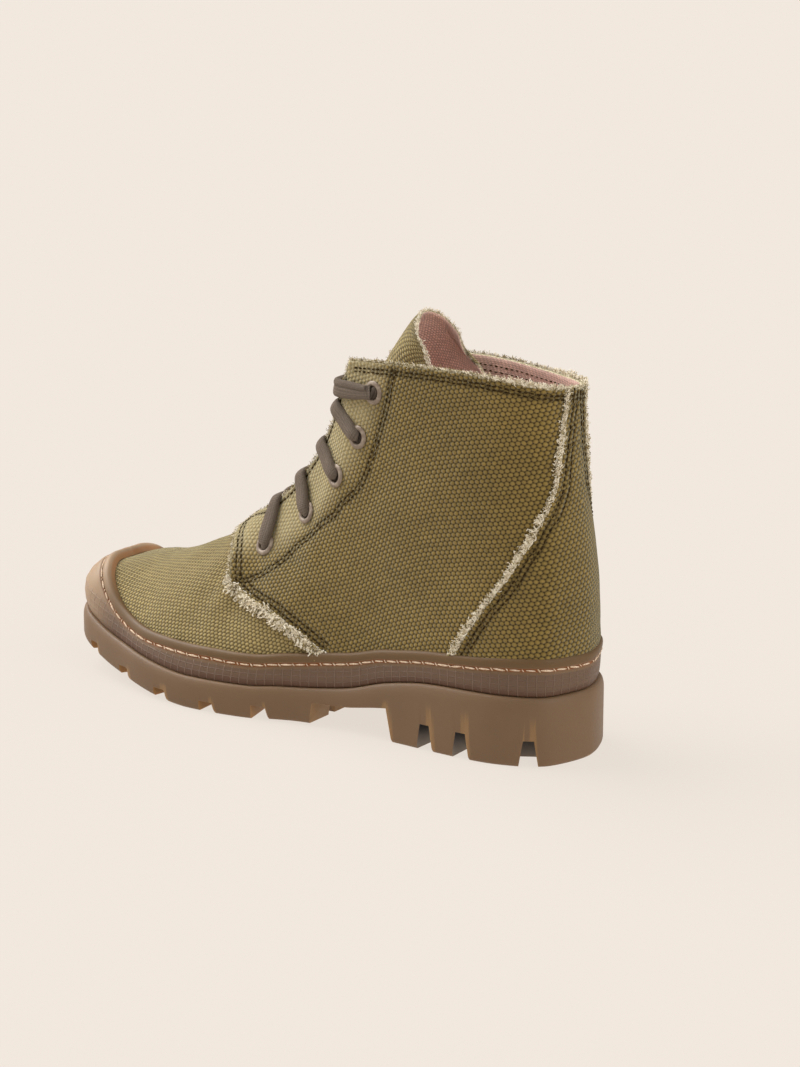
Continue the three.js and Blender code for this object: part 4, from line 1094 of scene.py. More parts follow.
def tongue():
    points = tongue_rows(*TONGUE_GRID)
    normal = tongue_normals(points)
    over = np.linalg.norm(np.diff(points, axis=1), axis=2)
    up = np.linalg.norm(np.diff(points, axis=0), axis=2)
    walk_over = np.concatenate([np.zeros((TONGUE_GRID[0], 1)), np.cumsum(over, 1)], 1)
    walk_over -= walk_over[:, TONGUE_MIDDLE[1]][:, None]
    walk_up = np.concatenate([np.zeros((1, TONGUE_GRID[1])), np.cumsum(up, 0)])
    uv = np.stack([walk_over, walk_up], -1) * MM
    wave = 0.25 * np.sin(points[..., 2] * 0.16) * np.sin(points[..., 1] * 0.21 + 0.6)
    half = TONGUE_THICKNESS / 2
    edge = np.minimum(np.minimum(walk_over - walk_over[:, :1], walk_over[:, -1:] - walk_over),
                      walk_up[-1:] - walk_up)
    rounding = 0.5 * half * (1 - smoothstep(edge, 0, 1.0)) ** 2
    shell = Shell()
    out = shell.add(points + normal * (half - rounding + wave)[..., None], uv, edge=edge)
    back = shell.add(points - normal * (half - rounding - wave)[..., None], uv, edge=edge)
    shell.grid(out)
    shell.grid(back, slot=1)
    for side in ((0,), (-1,), (slice(None), 0), (slice(None), -1)):
        shell.strip(out[side], back[side], slot=2)
    return shell.build("tongue_cloth")


# Eyelets and laces
def seat(station, share, outer):
    """Middle of an eyelet's flange underside, its outward direction and its tube's depth."""
    u = station if outer else RING - station
    rim = EYELET_OUTER / 2
    here = np.array([u])
    nearby = np.linalg.norm(sample(surface, here + 0.1, np.array([share]))
                            - sample(surface, here - 0.1, np.array([share]))) / 0.2
    spread = rim / nearby
    climb = rim / length_at(u)
    at = lambda du, dv: sample(surface, here + du, np.array([share + dv]))[0]
    normal = unit(np.cross(at(0, climb) - at(0, -climb), at(spread, 0) - at(-spread, 0)))
    normal = normal if normal[1] * (1 if outer else -1) > 0 else -normal
    centre = at(0, 0)
    turn = np.linspace(0, 2 * math.pi, 24)
    rim_u = u + spread * np.cos(turn)
    rim_v = share + climb * np.sin(turn)
    face = CLEARANCE + PANEL_THICKNESS
    edge = on_surface(rim_u, rim_v, face + cloth_relief(rim_u, rim_v)) - centre
    height = max(float((edge @ normal).max()), face) + 0.05
    return centre + normal * height, normal, height + UPPER_WALL


def frame_of(direction):
    side = unit(np.cross(np.array([0, 0, 1.0]), direction))
    return side, unit(np.cross(direction, side))


def hole_tool(place):
    centre, normal, depth = place
    side, up = frame_of(normal)
    turn = np.linspace(0, 2 * math.pi, 24, endpoint=False)
    radius = EYELET_HOLE / 2 + 1.0
    ring = np.cos(turn)[:, None] * side * radius + np.sin(turn)[:, None] * up * radius
    above = centre + ring + normal * 4
    return prism_tool(np.concatenate([above, centre + ring - normal * (depth + 3)]))


def curve_through(points, count):
    """Even points along a smooth curve through the given ones."""
    points = np.asarray(points, float)
    fine = columns(points, np.linspace(0, len(points) - 1, 40 * len(points)))
    walk = walked(fine)
    even = np.linspace(0, walk[-1], count)
    return np.stack([np.interp(even, walk, fine[:, k]) for k in range(3)], -1)


def cord_path(points, normals, count):
    """Even points of a cord's middle line, and the directions its broad side faces there."""
    place = np.linspace(0, len(points) - 1, count)
    return curve_through(points, count), unit(columns(np.array(normals), place))


def cord_strand(shell, path, normals, width=LACE_WIDTH, thickness=LACE_THICKNESS, slot=0):
    """Flat woven cord along a path, its broad side facing the normals."""
    ahead = unit(np.gradient(path, axis=0))
    across = unit(np.cross(normals, ahead))
    out = np.cross(ahead, across)
    turn = np.linspace(0, 2 * math.pi, 17)[None]
    reach = np.sign(np.cos(turn)) * np.abs(np.cos(turn)) ** 0.8
    rise = np.sign(np.sin(turn)) * np.abs(np.sin(turn)) ** 0.8
    walk = walked(path)
    width = np.broadcast_to(width, len(path))[:, None]
    thickness = np.broadcast_to(thickness, len(path))[:, None]
    pinch = 1 - 0.10 * np.abs(np.cos(turn)) ** 8
    points = (path[:, None]
              + across[:, None] * (reach * width / 2)[..., None]
              + out[:, None] * (rise * pinch * thickness / 2)[..., None])
    uv = np.stack([np.broadcast_to(walk[:, None], reach.repeat(len(path), 0).shape),
                   (turn / (2 * math.pi) * 2 * LACE_WIDTH).repeat(len(path), 0)], -1) * MM
    index = shell.add(points, uv)
    shell.grid(index, slot=slot)
    for k in (0, -1):
        middle = shell.add(np.repeat(path[k][None], 17, 0), uv[k])
        shell.strip(index[k], middle, slot=slot)


# Stations of the throat's edge beside each eyelet, and points along the strands
LACE_STATIONS = (8.9, 9.75, 10.6, 11.5, 12.35)
CROSSING_STEPS = 96
BAR_STEPS = 110
INSIDE_STEPS = 40


def throat_edge(count, outer):
    s = read_list(LACE_STATIONS, np.array([count]))
    return top_point(s if outer else RING - s)[0]


def throat_front(count):
    along = unit(throat_edge(count - 0.4, True) - throat_edge(count + 0.4, True))
    return unit(np.array([along[2], 0, -along[0]]))


def face_height():
    return CLEARANCE + PANEL_THICKNESS


def crossing_path(count, from_outer, over):
    """From inside the lower eyelet over the throat to behind the upper one opposite."""
    start, normal, depth = (OUTER_SEATS if from_outer else INNER_SEATS)[count]
    goal, goal_normal, goal_depth = (INNER_SEATS if from_outer else OUTER_SEATS)[count - 1]
    near = throat_edge(count - 0.50, from_outer)
    far = throat_edge(count - 0.86, not from_outer)
    middle = 0.5 * (throat_edge(count - 0.66, True) + throat_edge(count - 0.66, False))
    front = throat_front(count - 0.6)
    toward = unit(near - start)
    half = LACE_THICKNESS / 2
    points = [
        start - normal * (depth + 1.0) - toward * 0.6,
        start - normal * 0.6,
        start + normal * (EYELET_FLANGE + 0.45 * half) + toward * (EYELET_HOLE * 0.42),
        lerp(start, near, 0.6) + normal * (EYELET_FLANGE + half - 0.3),
        near + normal * (face_height() + half - 0.7) + front * (half - 1.2),
        lerp(near, middle, 0.5) + front * (half - 0.3 + 0.4 * over),
        middle + front * (half - 0.1 + 0.8 * over),
        lerp(middle, far, 0.62) + front * (0.4 + 0.3 * over),
        far - goal_normal * (UPPER_WALL + half + 0.6) - front * 1.5,
        goal - goal_normal * (goal_depth + half + 1.0),
        goal - goal_normal * 1.2,
    ]
    normals = [
        front, normal, normal, normal, unit(normal + 0.6 * front), unit(front + 0.3 * normal),
        front, unit(front - 0.2 * goal_normal), goal_normal, goal_normal, front,
    ]
    return cord_path(points, normals, CROSSING_STEPS)


def cord_girth(count, near_end, far_end, waist=1.0):
    """Width and thickness along a cord, round at its holes and slimmer at its crossing."""
    t = np.linspace(0, 1, count)
    free = smoothstep(t, *near_end) * smoothstep(1 - t, *far_end)
    slim = lerp(1.0, waist, smoothstep(t, 0.2, 0.42))
    width = lerp(0.80, 1.06, free) * slim * LACE_WIDTH
    return width, lerp(1.36, 1.04, free) * slim * LACE_THICKNESS


def lace_crossing(count):
    shell = Shell()
    for from_outer, over in ((True, 1.6), (False, -0.9)):
        path, normals = crossing_path(count, from_outer, over)
        cord_strand(shell, path, normals, *cord_girth(len(path), (0.02, 0.16), (0, 0.14), 0.74))
    return shell.build(f"lace_strands_{count}")


def lace_bar():
    (a, na, da), (b, nb, db) = OUTER_SEATS[0], INNER_SEATS[0]
    front = unit(np.array([1, 0, 0.3]))
    half = LACE_THICKNESS / 2
    near, far = throat_edge(-0.1, True), throat_edge(-0.1, False)
    points = [
        a - na * (da + 1.5), a - na * 0.3,
        a + na * (EYELET_FLANGE + 0.7 * half) + unit(near - a) * 3.2,
        near + na * (face_height() + half) + front * (half - 0.4),
        lerp(near, far, 0.25) + front * (half + 1.8), lerp(near, far, 0.5) + front * (half + 2.2),
        lerp(near, far, 0.75) + front * (half + 1.8),
        far + nb * (face_height() + half) + front * (half - 0.4),
        b + nb * (EYELET_FLANGE + 0.7 * half) + unit(far - b) * 3.2,
        b - nb * 0.3, b - nb * (db + 1.5),
    ]
    normals = [
        front, na, na, unit(na + 0.5 * front), front, front, front, unit(nb + 0.5 * front),
        nb, nb, front,
    ]
    path, spread = cord_path(points, normals, BAR_STEPS)
    shell = Shell()
    width, thick = cord_girth(BAR_STEPS, (0.05, 0.22), (0.05, 0.22))
    cord_strand(shell, path, spread, 1.08 * width, 0.92 * thick)
    rise = unit(np.cross(spread, unit(np.gradient(path, axis=0))))
    rise = rise * np.sign(rise[:, 2:])
    middle = slice(8, BAR_STEPS - 8)
    fold = path + rise * (0.33 * width)[:, None] + spread * (0.28 * thick)[:, None]
    cord_strand(shell, fold[middle], spread[middle], 0.42 * width[middle], 0.62 * thick[middle])
    low, nl, dl = OUTER_SEATS[4]
    low_in, nm, dm = INNER_SEATS[4]
    inside = [low - nl * 1.0, low - nl * (dl + 2.2), lerp(low, low_in, 0.5) - np.array([0, 0, 4.0]),
              low_in - nm * (dm + 2.2), low_in - nm * 1.0]
    path = curve_through(inside, INSIDE_STEPS)
    facing = np.repeat(unit(np.array([[0.4, 0, 1.0]])), INSIDE_STEPS, 0)
    cord_strand(shell, path, facing, LACE_WIDTH * 0.7)
    return shell.build("lace_top_bar")


# Materials
def linear(red, green, blue):
    """Colour of the eye's scale, 0 to 255, as linear light."""
    scaled = [c / 255 for c in (red, green, blue)]
    return tuple(c / 12.92 if c <= 0.04 else ((c + 0.055) / 1.055) ** 2.4 for c in scaled) + (1.0,)


class Nodes:
    """Adds and joins nodes of one tree."""

    def __init__(self, tree):
        self.tree = tree

    def add(self, kind, inputs=None, out=0, **settings):
        node = self.tree.nodes.new(kind)
        for name, value in settings.items():
            setattr(node, name, value)
        for key, value in (inputs or {}).items():
            self.feed(node.inputs[key], value)
        return node.outputs[out]

    def feed(self, socket, value):
        if isinstance(value, bpy.types.NodeSocket):
            self.tree.links.new(value, socket)
        else:
            socket.default_value = value

    def math(self, operation, *values):
        return self.add("ShaderNodeMath", dict(enumerate(values)), operation=operation)

    def band(self, value, low, high):
        """0 below low, 1 above high, and smooth between."""
        ends = {"Value": value, "From Min": low, "From Max": high}
        return self.add("ShaderNodeMapRange", ends, interpolation_type="SMOOTHSTEP")

    def less(self, value):
        """One less the value."""
        return self.math("SUBTRACT", 1.0, value)

    def mix(self, share, first, second):
        ends = {0: share, 6: first, 7: second}
        return self.add("ShaderNodeMix", ends, out=2, data_type="RGBA", clamp_factor=True)

    def tint(self, share, first, second):
        """Multiplies a colour by another one, by a share."""
        ends = {0: share, 6: first, 7: second}
        return self.add("ShaderNodeMix", ends, out=2, data_type="RGBA", blend_type="MULTIPLY")

    def noise(self, place, scale, detail=2.0, rough=0.5):
        ends = {"Vector": place, "Scale": scale, "Detail": detail, "Roughness": rough}
        return self.add("ShaderNodeTexNoise", ends)


def group(name, inputs, outputs):
    """A shader node group: inputs and outputs are names with a kind and a starting value."""
    tree = bpy.data.node_groups.new(name, "ShaderNodeTree")
    kinds = {"value": "NodeSocketFloat", "colour": "NodeSocketColor", "vector": "NodeSocketVector"}
    for label, kind, start in inputs:
        socket = tree.interface.new_socket(name=label, in_out="INPUT", socket_type=kinds[kind])
        if start is not None:
            socket.default_value = start
    for label, kind in outputs:
        tree.interface.new_socket(name=label, in_out="OUTPUT", socket_type=kinds[kind])
    nodes = Nodes(tree)
    entry = tree.nodes.new("NodeGroupInput")
    leave = tree.nodes.new("NodeGroupOutput")
    return tree, nodes, entry.outputs, leave.inputs


def plain_weave():
    """Round knots of a coarse plain weave, lit on top and dark between."""
    tree, n, given, give = group(
        "plain weave",
        [("Place", "vector", None), ("Across", "value", 0.00123), ("Upward", "value", 0.00198),
         ("Knot", "colour", None), ("Gap", "colour", None), ("Wander", "value", 0.0008)],
        [("Colour", "colour"), ("Height", "value")],
    )
    wander = n.add("ShaderNodeTexNoise",
                   {"Vector": given["Place"], "Scale": 210.0, "Detail": 2.0}, out=1)
    centred = n.add("ShaderNodeVectorMath", {0: wander, 1: (0.5, 0.5, 0.5)}, operation="SUBTRACT")
    drift = n.add("ShaderNodeVectorMath", {0: centred, "Scale": given["Wander"]}, operation="SCALE")
    place = n.add("ShaderNodeVectorMath", {0: given["Place"], 1: drift}, operation="ADD")
    split = n.add("ShaderNodeSeparateXYZ", {0: place})
    x, y = split.node.outputs[0], split.node.outputs[1]
    b = n.math("DIVIDE", n.math("MULTIPLY_ADD", x, 0.165, y), given["Upward"])
    a = n.math("MULTIPLY_ADD", b, -0.403, n.math("DIVIDE", x, given["Across"]))
    both = n.math("MULTIPLY", n.math("COSINE", n.math("MULTIPLY", a, math.pi)),
                  n.math("COSINE", n.math("MULTIPLY", b, math.pi)))
    wave = n.math("MULTIPLY_ADD", both, 2.0, n.math("COSINE", n.math("MULTIPLY", b, 2 * math.pi)))
    first = n.math("FLOOR", n.math("MULTIPLY_ADD", n.math("ADD", a, b), 0.5, 0.5))
    second = n.math("FLOOR", n.math("MULTIPLY_ADD", n.math("SUBTRACT", a, b), 0.5, 0.5))
    cell = n.add("ShaderNodeCombineXYZ", {0: first, 1: second})
    chance = n.add("ShaderNodeTexWhiteNoise", {"Vector": cell}, noise_dimensions="2D")
    knots = n.band(wave, -1.8, -0.1)
    dome = n.band(wave, -1.5, 3.2)
    fuzz = n.noise(given["Place"], 2600.0, 2.0, 0.7)
    stretched = n.add("ShaderNodeCombineXYZ",
                      {0: n.math("MULTIPLY", a, 0.06), 1: n.math("MULTIPLY", b, 0.6)})
    slub = n.noise(stretched, 1.0, 1.0)
    height = n.math("MULTIPLY_ADD", fuzz, 0.5, n.math("MULTIPLY_ADD", knots, 0.5, dome))
    height = n.math("MULTIPLY_ADD", chance, 0.15, height)
    bright = n.math("MULTIPLY_ADD", chance, 0.2, n.math("MULTIPLY_ADD", fuzz, 0.5, 0.38))
    bright = n.math("MULTIPLY_ADD", slub, 0.3, n.math("MULTIPLY_ADD", dome, 0.34, bright))
    shade = n.add("ShaderNodeCombineColor", {0: bright, 1: bright, 2: bright})
    knot = n.tint(1.0, given["Knot"], shade)
    n.feed(give["Colour"], n.mix(knots, given["Gap"], knot))
    n.feed(give["Height"], height)
    return tree


def long_fading():
    """Slow changes of shade over a worn surface, as a factor round one."""
    tree, n, given, give = group(
        "slow fading",
        [("Place", "vector", None), ("Scale", "value", 28.0), ("Amount", "value", 0.2)],
        [("Shade", "colour"), ("Factor", "value")],
    )
    broad = n.noise(given["Place"], given["Scale"], 3.0, 0.55)
    shade = n.math("MULTIPLY_ADD", n.math("SUBTRACT", broad, 0.5), given["Amount"], 1.0)
    n.feed(give["Shade"], n.add("ShaderNodeCombineColor", {0: shade, 1: shade, 2: shade}))
    n.feed(give["Factor"], broad)
    return tree


WEAVE = plain_weave()
FADING = long_fading()


class Finish:
    """A material with its Principled shader and its tree's helper."""

    def __init__(self, name, roughness, metallic=0.0, specular=0.3):
        self.material = bpy.data.materials.new(name)
        self.material.use_nodes = True
        self.n = Nodes(self.material.node_tree)
        self.shader = self.material.node_tree.nodes["Principled BSDF"]
        self.shader.inputs["Roughness"].default_value = roughness
        self.shader.inputs["Metallic"].default_value = metallic
        self.shader.inputs["Specular IOR Level"].default_value = specular

    def use(self, tree, **inputs):
        node = self.material.node_tree.nodes.new("ShaderNodeGroup")
        node.node_tree = tree
        for key, value in inputs.items():
            self.n.feed(node.inputs[key], value)
        return node.outputs

    def cloth_place(self):
        return self.n.add("ShaderNodeUVMap", uv_map="cloth")

    def object_place(self):
        return self.n.add("ShaderNodeTexCoord", out=3)

    def mark(self, name):
        return self.n.add("ShaderNodeAttribute", out=2, attribute_name=name)

    def colour(self, socket):
        self.n.feed(self.shader.inputs["Base Color"], socket)

    def over(self, base, mask, share, *rgb):
        """The base colour with another one laid over it where the mask says."""
        return self.n.mix(self.n.math("MULTIPLY", mask, share), base, linear(*rgb))

    def bump(self, height, distance):
        normal = self.n.add("ShaderNodeBump",
                            {"Height": height, "Distance": distance, "Strength": 1.0})
        self.n.feed(self.shader.inputs["Normal"], normal)

    def sheen(self, weight, colour=(1, 1, 1, 1), roughness=0.5):
        self.shader.inputs["Sheen Weight"].default_value = weight
        self.shader.inputs["Sheen Roughness"].default_value = roughness
        self.shader.inputs["Sheen Tint"].default_value = colour


def canvas_finish(name, knot, gap, pale, across=0.00123, upward=0.00198):
    """Washed olive canvas, paler along its raw edges; paler toward the throat, partly bleached and
    partly painted light; with painted shade in the valleys along its seams.
    """
    f = Finish(name, 0.92, specular=0.15)
    place = f.cloth_place()
    weave = f.use(WEAVE, Place=place, Across=across, Upward=upward, Knot=knot, Gap=gap)
    fading = f.use(FADING, Place=f.object_place(), Scale=24.0, Amount=0.4)
    colour = f.n.tint(1.0, weave["Colour"], fading["Shade"])
    # Paler toward the throat: partly bleaching, partly painted light on the eyestay
    colour = f.over(colour, f.mark("wash"), 0.5, 206, 188, 142)
    # Painted shade in the valleys along the seams, broken up by noise
    sewn = f.n.math("MULTIPLY", f.mark("seam"), f.n.band(f.n.noise(place, 520.0), 0.25, 0.55))
    colour = f.over(colour, sewn, 0.66, 66, 52, 26)
    worn = f.n.less(f.n.band(f.mark("edge"), 0.2, 1.6))
    ragged = f.n.math("MULTIPLY", worn, f.n.band(f.n.noise(place, 700.0), 0.35, 0.6))
    f.colour(f.n.mix(ragged, colour, pale))
    f.bump(weave["Height"], 0.00044)
    f.sheen(0.35, (0.93, 1.0, 0.86, 1))
    return f.material


def lining_finish():
    f = Finish("cotton lining", 0.9, specular=0.15)
    place = f.cloth_place()
    weave = f.use(WEAVE, Place=place, Across=0.0008, Upward=0.0012,
                  Knot=linear(226, 188, 172), Gap=linear(206, 166, 150), Wander=0.0003)
    fading = f.use(FADING, Place=f.object_place(), Scale=30.0, Amount=0.3)
    f.colour(f.n.tint(1.0, weave["Colour"], fading["Shade"]))
    f.bump(weave["Height"], 0.00012)
    f.sheen(0.2)
    return f.material


def rubber_base(name):
    """Gum rubber: cloudy and slightly clear."""
    f = Finish(name, 0.5, specular=0.32)
    place = f.object_place()
    cloud = f.use(FADING, Place=place, Scale=18.0, Amount=0.25)
    fine = f.n.noise(place, 900.0, 3.0, 0.6)
    base = f.n.mix(cloud["Factor"], linear(109, 85, 62), linear(133, 105, 77))
    f.shader.inputs["Subsurface Weight"].default_value = 0.12
    f.shader.inputs["Subsurface Radius"].default_value = (0.006, 0.003, 0.0012)
    f.shader.inputs["Subsurface Scale"].default_value = 1.0
    f.n.feed(f.shader.inputs["Roughness"], f.n.math("MULTIPLY_ADD", fine, 0.22, 0.4))
    return f, place, base, fine


def sole_finish():
    f, place, base, fine = rubber_base("gum sole")
    rim = f.n.band(f.n.add("ShaderNodeNewGeometry", out="Pointiness"), 0.52, 0.6)
    # Lighter, warmer colour on the sharp convex edges
    f.colour(f.over(base, rim, 0.6, 158, 122, 78))
    f.bump(fine, 0.00008)
    return f.material


def notch_finish():
    """Inside of the heel's notches: painted shade, darkest at the top and lighter near the ground.
    """
    f, place, base, fine = rubber_base("shaded rubber")
    height = f.n.add("ShaderNodeSeparateXYZ", {0: place}).node.outputs[2]
    dark = f.n.band(height, 0.0, NOTCH_HEIGHT * MM)
    # Painted shade in the notch, dark at the top and lighter toward the ground
    f.colour(f.n.mix(dark, linear(120, 108, 96), linear(34, 33, 36)))
    return f.material


def gap_finish():
    """Walls of the gaps between the lugs: painted light, amber on the walls that face the heel, and
    painted shade, dark, on the others.
    """
    f, place, base, fine = rubber_base("lug gap rubber")
    normal = f.n.add("ShaderNodeNewGeometry", out="Normal")
    facing = f.n.add("ShaderNodeSeparateXYZ", {0: normal})
    lit = f.n.band(f.n.math("MULTIPLY", facing, -1.0), 0.2, 0.7)
    # Painted light on the walls facing the heel, painted shade on the rest
    f.colour(f.n.mix(lit, linear(62, 46, 34), linear(160, 116, 68)))
    return f.material


def band_finish():
    """Moulded band: ribbed below its stitch groove and smooth above it."""
    f, place, base, fine = rubber_base("gum band")
    split = f.n.add("ShaderNodeSeparateXYZ", {0: f.cloth_place()}).node
    around, up = split.outputs[0], split.outputs[1]
    below = f.mark("below")
    toe = f.mark("toe")
    ribs = f.n.math("PINGPONG", around, 0.00225)
    rib = f.n.less(f.n.band(ribs, 0.00012, 0.00042))
    rows = f.n.math("PINGPONG", up, 0.0013)
    row = f.n.less(f.n.band(rows, 0.00005, 0.0003))
    under = f.n.math("MULTIPLY", f.n.band(below, 1.6, 2.6), f.n.less(f.n.band(up, 0.0108, 0.0122)))
    relief = f.n.math("MULTIPLY", under, f.n.math("MAXIMUM", rib, f.n.math("MULTIPLY", row, 0.45)))
    # Painted shade in the crease where the band meets the sole
    low = f.n.less(f.n.band(up, 0.0005, 0.0045))
    dark = f.over(base, under, 0.66, 102, 80, 66)
    dark = f.over(dark, low, 0.62, 84, 50, 34)
    # Painted highlight: the raised rib lines painted lighter
    ribbed = f.over(dark, relief, 0.32, 160, 134, 114)
    # Painted shadow: amber dark in the stitch groove, weaker round the toe
    groove = f.n.less(f.n.band(f.n.math("ABSOLUTE", below), 0.5, 1.15))
    amber = f.n.math("MULTIPLY", groove, f.n.math("MULTIPLY_ADD", toe, -0.55, 0.85))
    with_groove_shadow = f.n.mix(amber, ribbed, linear(146, 86, 40))
    bead = f.n.math("MULTIPLY", toe, f.n.less(f.n.band(below, -5.45, -4.95)))
    # Painted light: the toe cap painted lighter, for the light falling on it
    toe_painted_light = f.n.math("MULTIPLY", toe, f.n.band(f.n.math("ABSOLUTE", below), 0.8, 1.4))
    with_groove_shadow = f.over(with_groove_shadow, toe_painted_light, 0.66, 186, 157, 127)
    with_groove_shadow = f.over(with_groove_shadow, bead, 0.6, 176, 116, 60)
    lip = f.n.math("MULTIPLY", f.n.less(f.n.band(below, -1.6, -0.7)), f.n.less(toe))
    f.colour(f.over(with_groove_shadow, lip, 0.8, 104, 78, 45))
    f.bump(f.n.math("ADD", relief, f.n.math("MULTIPLY", fine, 0.12)), 0.00035)
    return f.material


def lace_finish():
    """Fuzzy braided cotton."""
    f = Finish("brown lace", 0.95, specular=0.1)
    split = f.n.add("ShaderNodeSeparateXYZ", {0: f.cloth_place()}).node
    along, round_ = split.outputs[0], split.outputs[1]
    one = f.n.math("SINE", f.n.math("MULTIPLY", f.n.math("ADD", along, round_), 4200.0))
    two = f.n.math("SINE", f.n.math("MULTIPLY", f.n.math("SUBTRACT", along, round_), 4200.0))
    braid = f.n.math("MULTIPLY_ADD", f.n.math("MULTIPLY", one, two), 0.5, 0.5)
    fuzz = f.n.noise(f.object_place(), 1500.0, 4.0, 0.8)
    shade = f.n.math("MULTIPLY_ADD", fuzz, 0.8, f.n.math("MULTIPLY", braid, 0.3))
    f.colour(f.n.mix(shade, linear(38, 31, 26), linear(142, 127, 113)))
    f.bump(f.n.math("MULTIPLY_ADD", fuzz, 0.9, f.n.math("MULTIPLY", braid, 0.6)), 0.00035)
    f.sheen(0.4, linear(150, 135, 120), 0.6)
    return f.material


def metal_finish():
    """Painted eyelet, rubbed brighter on its roll."""
    f = Finish("taupe eyelet", 0.5, 0.15, specular=0.45)
    place = f.object_place()
    rub = f.n.band(f.n.noise(place, 420.0, 3.0), 0.4, 0.65)
    f.colour(f.n.mix(rub, linear(136, 118, 102), linear(164, 147, 129)))
    f.n.feed(f.shader.inputs["Roughness"], f.n.math("MULTIPLY_ADD", rub, 0.2, 0.34))
    f.bump(f.n.noise(place, 1500.0), 0.00003)
    return f.material


def thread_finish(name, light, dark, scale=1500.0, glow=0.0):
    """Cotton thread with lighter and darker stretches; glow is painted light, an emission standing
    in for light caught in loose fluff.
    """
    f = Finish(name, 0.9, specular=0.1)
    place = f.object_place()
    fleck = f.n.noise(place, scale, 2.0, 0.6)
    f.colour(f.n.mix(f.n.band(fleck, 0.35, 0.62), dark, light))
    f.shader.inputs["Emission Color"].default_value = light
    f.shader.inputs["Emission Strength"].default_value = glow
    f.bump(fleck, 0.00012)
    f.sheen(0.3, light)
    return f.material


def footbed_finish():
    f = Finish("cotton footbed", 0.92, specular=0.1)
    place = f.cloth_place()
    weave = f.use(WEAVE, Place=place, Across=0.0009, Upward=0.0012,
                  Knot=linear(190, 168, 138), Gap=linear(150, 128, 102), Wander=0.0002)
    fading = f.use(FADING, Place=f.object_place(), Scale=20.0, Amount=0.4)
    f.colour(f.n.tint(1.0, weave["Colour"], fading["Shade"]))
    f.bump(weave["Height"], 0.00015)
    return f.material


pale_edge = linear(208, 196, 160)
# Vamp and sides are one cloth: the vamp's paler colours are painted light on its top, the sides'
# darker ones painted shade
side_canvas_shaded = canvas_finish("side canvas", linear(141, 117, 61), linear(44, 30, 12), pale_edge)
vamp_canvas_lit = canvas_finish("vamp canvas", linear(168, 146, 93), linear(80, 62, 29), pale_edge,
                            0.00115, 0.0018)
raw_edge = thread_finish("raw edge", linear(226, 214, 184), linear(140, 124, 84), 1100.0)
lining = lining_finish()
sole_rubber = sole_finish()
notch_painted_shade = notch_finish()
lug_gap_light_and_shade = gap_finish()
band_rubber = band_finish()
metal = metal_finish()
cotton = lace_finish()
seam_thread = thread_finish("brown seam thread", linear(72, 56, 28), linear(32, 23, 10))
band_thread = thread_finish("pale band thread", linear(244, 222, 196), linear(206, 174, 140))
# The cream fray's faint emission is painted light
fray_thread = thread_finish("cream fray", linear(255, 246, 226), linear(206, 188, 152), 600.0, 0.07)
green_fray = thread_finish("olive fray", linear(180, 162, 112), linear(84, 66, 34), 900.0)
footbed = footbed_finish()


# Lines along which the pieces are sewn and frayed
def smooth_line(pairs, count=160):
    """Stations and shares of a line through the given ones."""
    pairs = np.asarray(pairs, float)
    place = np.linspace(0, len(pairs) - 1, count)
    return read_list(pairs[:, 0], place), read_list(pairs[:, 1], place)


def beside(u, share, distance):
    """The same line moved sideways over the surface, in millimetres."""
    point = sample(surface, u, share)
    ahead = unit(np.gradient(point, axis=0))
    side = np.cross(unit(sample(surface_normal, u, share)), ahead)
    du = (sample(surface, u + 0.05, share) - sample(surface, u - 0.05, share)) / 0.1
    dv = (sample(surface, u, share + 0.01) - sample(surface, u, share - 0.01)) / 0.02
    step = side * distance
    uu, uv, vv = (du * du).sum(1), (du * dv).sum(1), (dv * dv).sum(1)
    su, sv = (step * du).sum(1), (step * dv).sum(1)
    det = uu * vv - uv * uv
    return u + (su * vv - sv * uv) / det, share + (sv * uu - su * uv) / det


def other_side(line):
    return RING - line[0], line[1]


EYESTAY = smooth_line([
    (6.62, 0.985), (6.70, 0.945), (6.80, 0.88), (7.00, 0.795), (7.20, 0.715), (7.40, 0.645),
    (7.70, 0.595), (8.30, 0.55), (9.40, 0.57), (10.30, 0.59), (11.00, 0.57), (11.70, 0.56),
    (12.15, 0.553),
])
quarter_u, quarter_share = quarter_grid(True)
QUARTER_EDGE = (quarter_u[-1], quarter_share[-1])
counter_u, counter_share = counter_grid()
COUNTER_EDGE = (counter_u[-1], counter_share[-1])


def below_top(distance, low, high, count=200):
    u = np.linspace(low, high, count)
    return u, 1 - distance / length_at(u)


STITCH_ROWS = [beside(*EYESTAY, 1.0), beside(*EYESTAY, -1.1)]
STITCH_ROWS += [beside(*QUARTER_EDGE, -3.6), beside(*QUARTER_EDGE, -6.2)]
STITCH_ROWS += [beside(*COUNTER_EDGE, -3.6), beside(*COUNTER_EDGE, -6.0)]
STITCH_ROWS += [below_top(3.0, 8.35, 13.4)]
STITCH_ROWS += [other_side(line) for line in STITCH_ROWS]
STITCH_ROWS += [below_top(3.6, -7.9, 7.9), below_top(5.3, -7.9, 7.9)]
seam_points = np.concatenate([sample(surface, *line) for line in STITCH_ROWS])
seam_tree = KDTree(len(seam_points))
for k, seam_point in enumerate(seam_points):
    seam_tree.insert(seam_point, k)
seam_tree.balance()


SEAM_DEPTH = 0.35


def seam_dips(u, share):
    """Small valleys that the stitches pull into the canvas, in millimetres."""
    points = sample(surface, u, share)
    away = np.array([seam_tree.find(point)[2] for point in points.reshape(-1, 3)])
    return -SEAM_DEPTH * np.exp(-(away.reshape(np.shape(points)[:-1]) / 1.1) ** 2)


OUTER_SEATS = [seat(s, v, True) for s, v in EYELETS]
INNER_SEATS = [seat(s, v, False) for s, v in EYELETS]
SEATS = OUTER_SEATS + INNER_SEATS


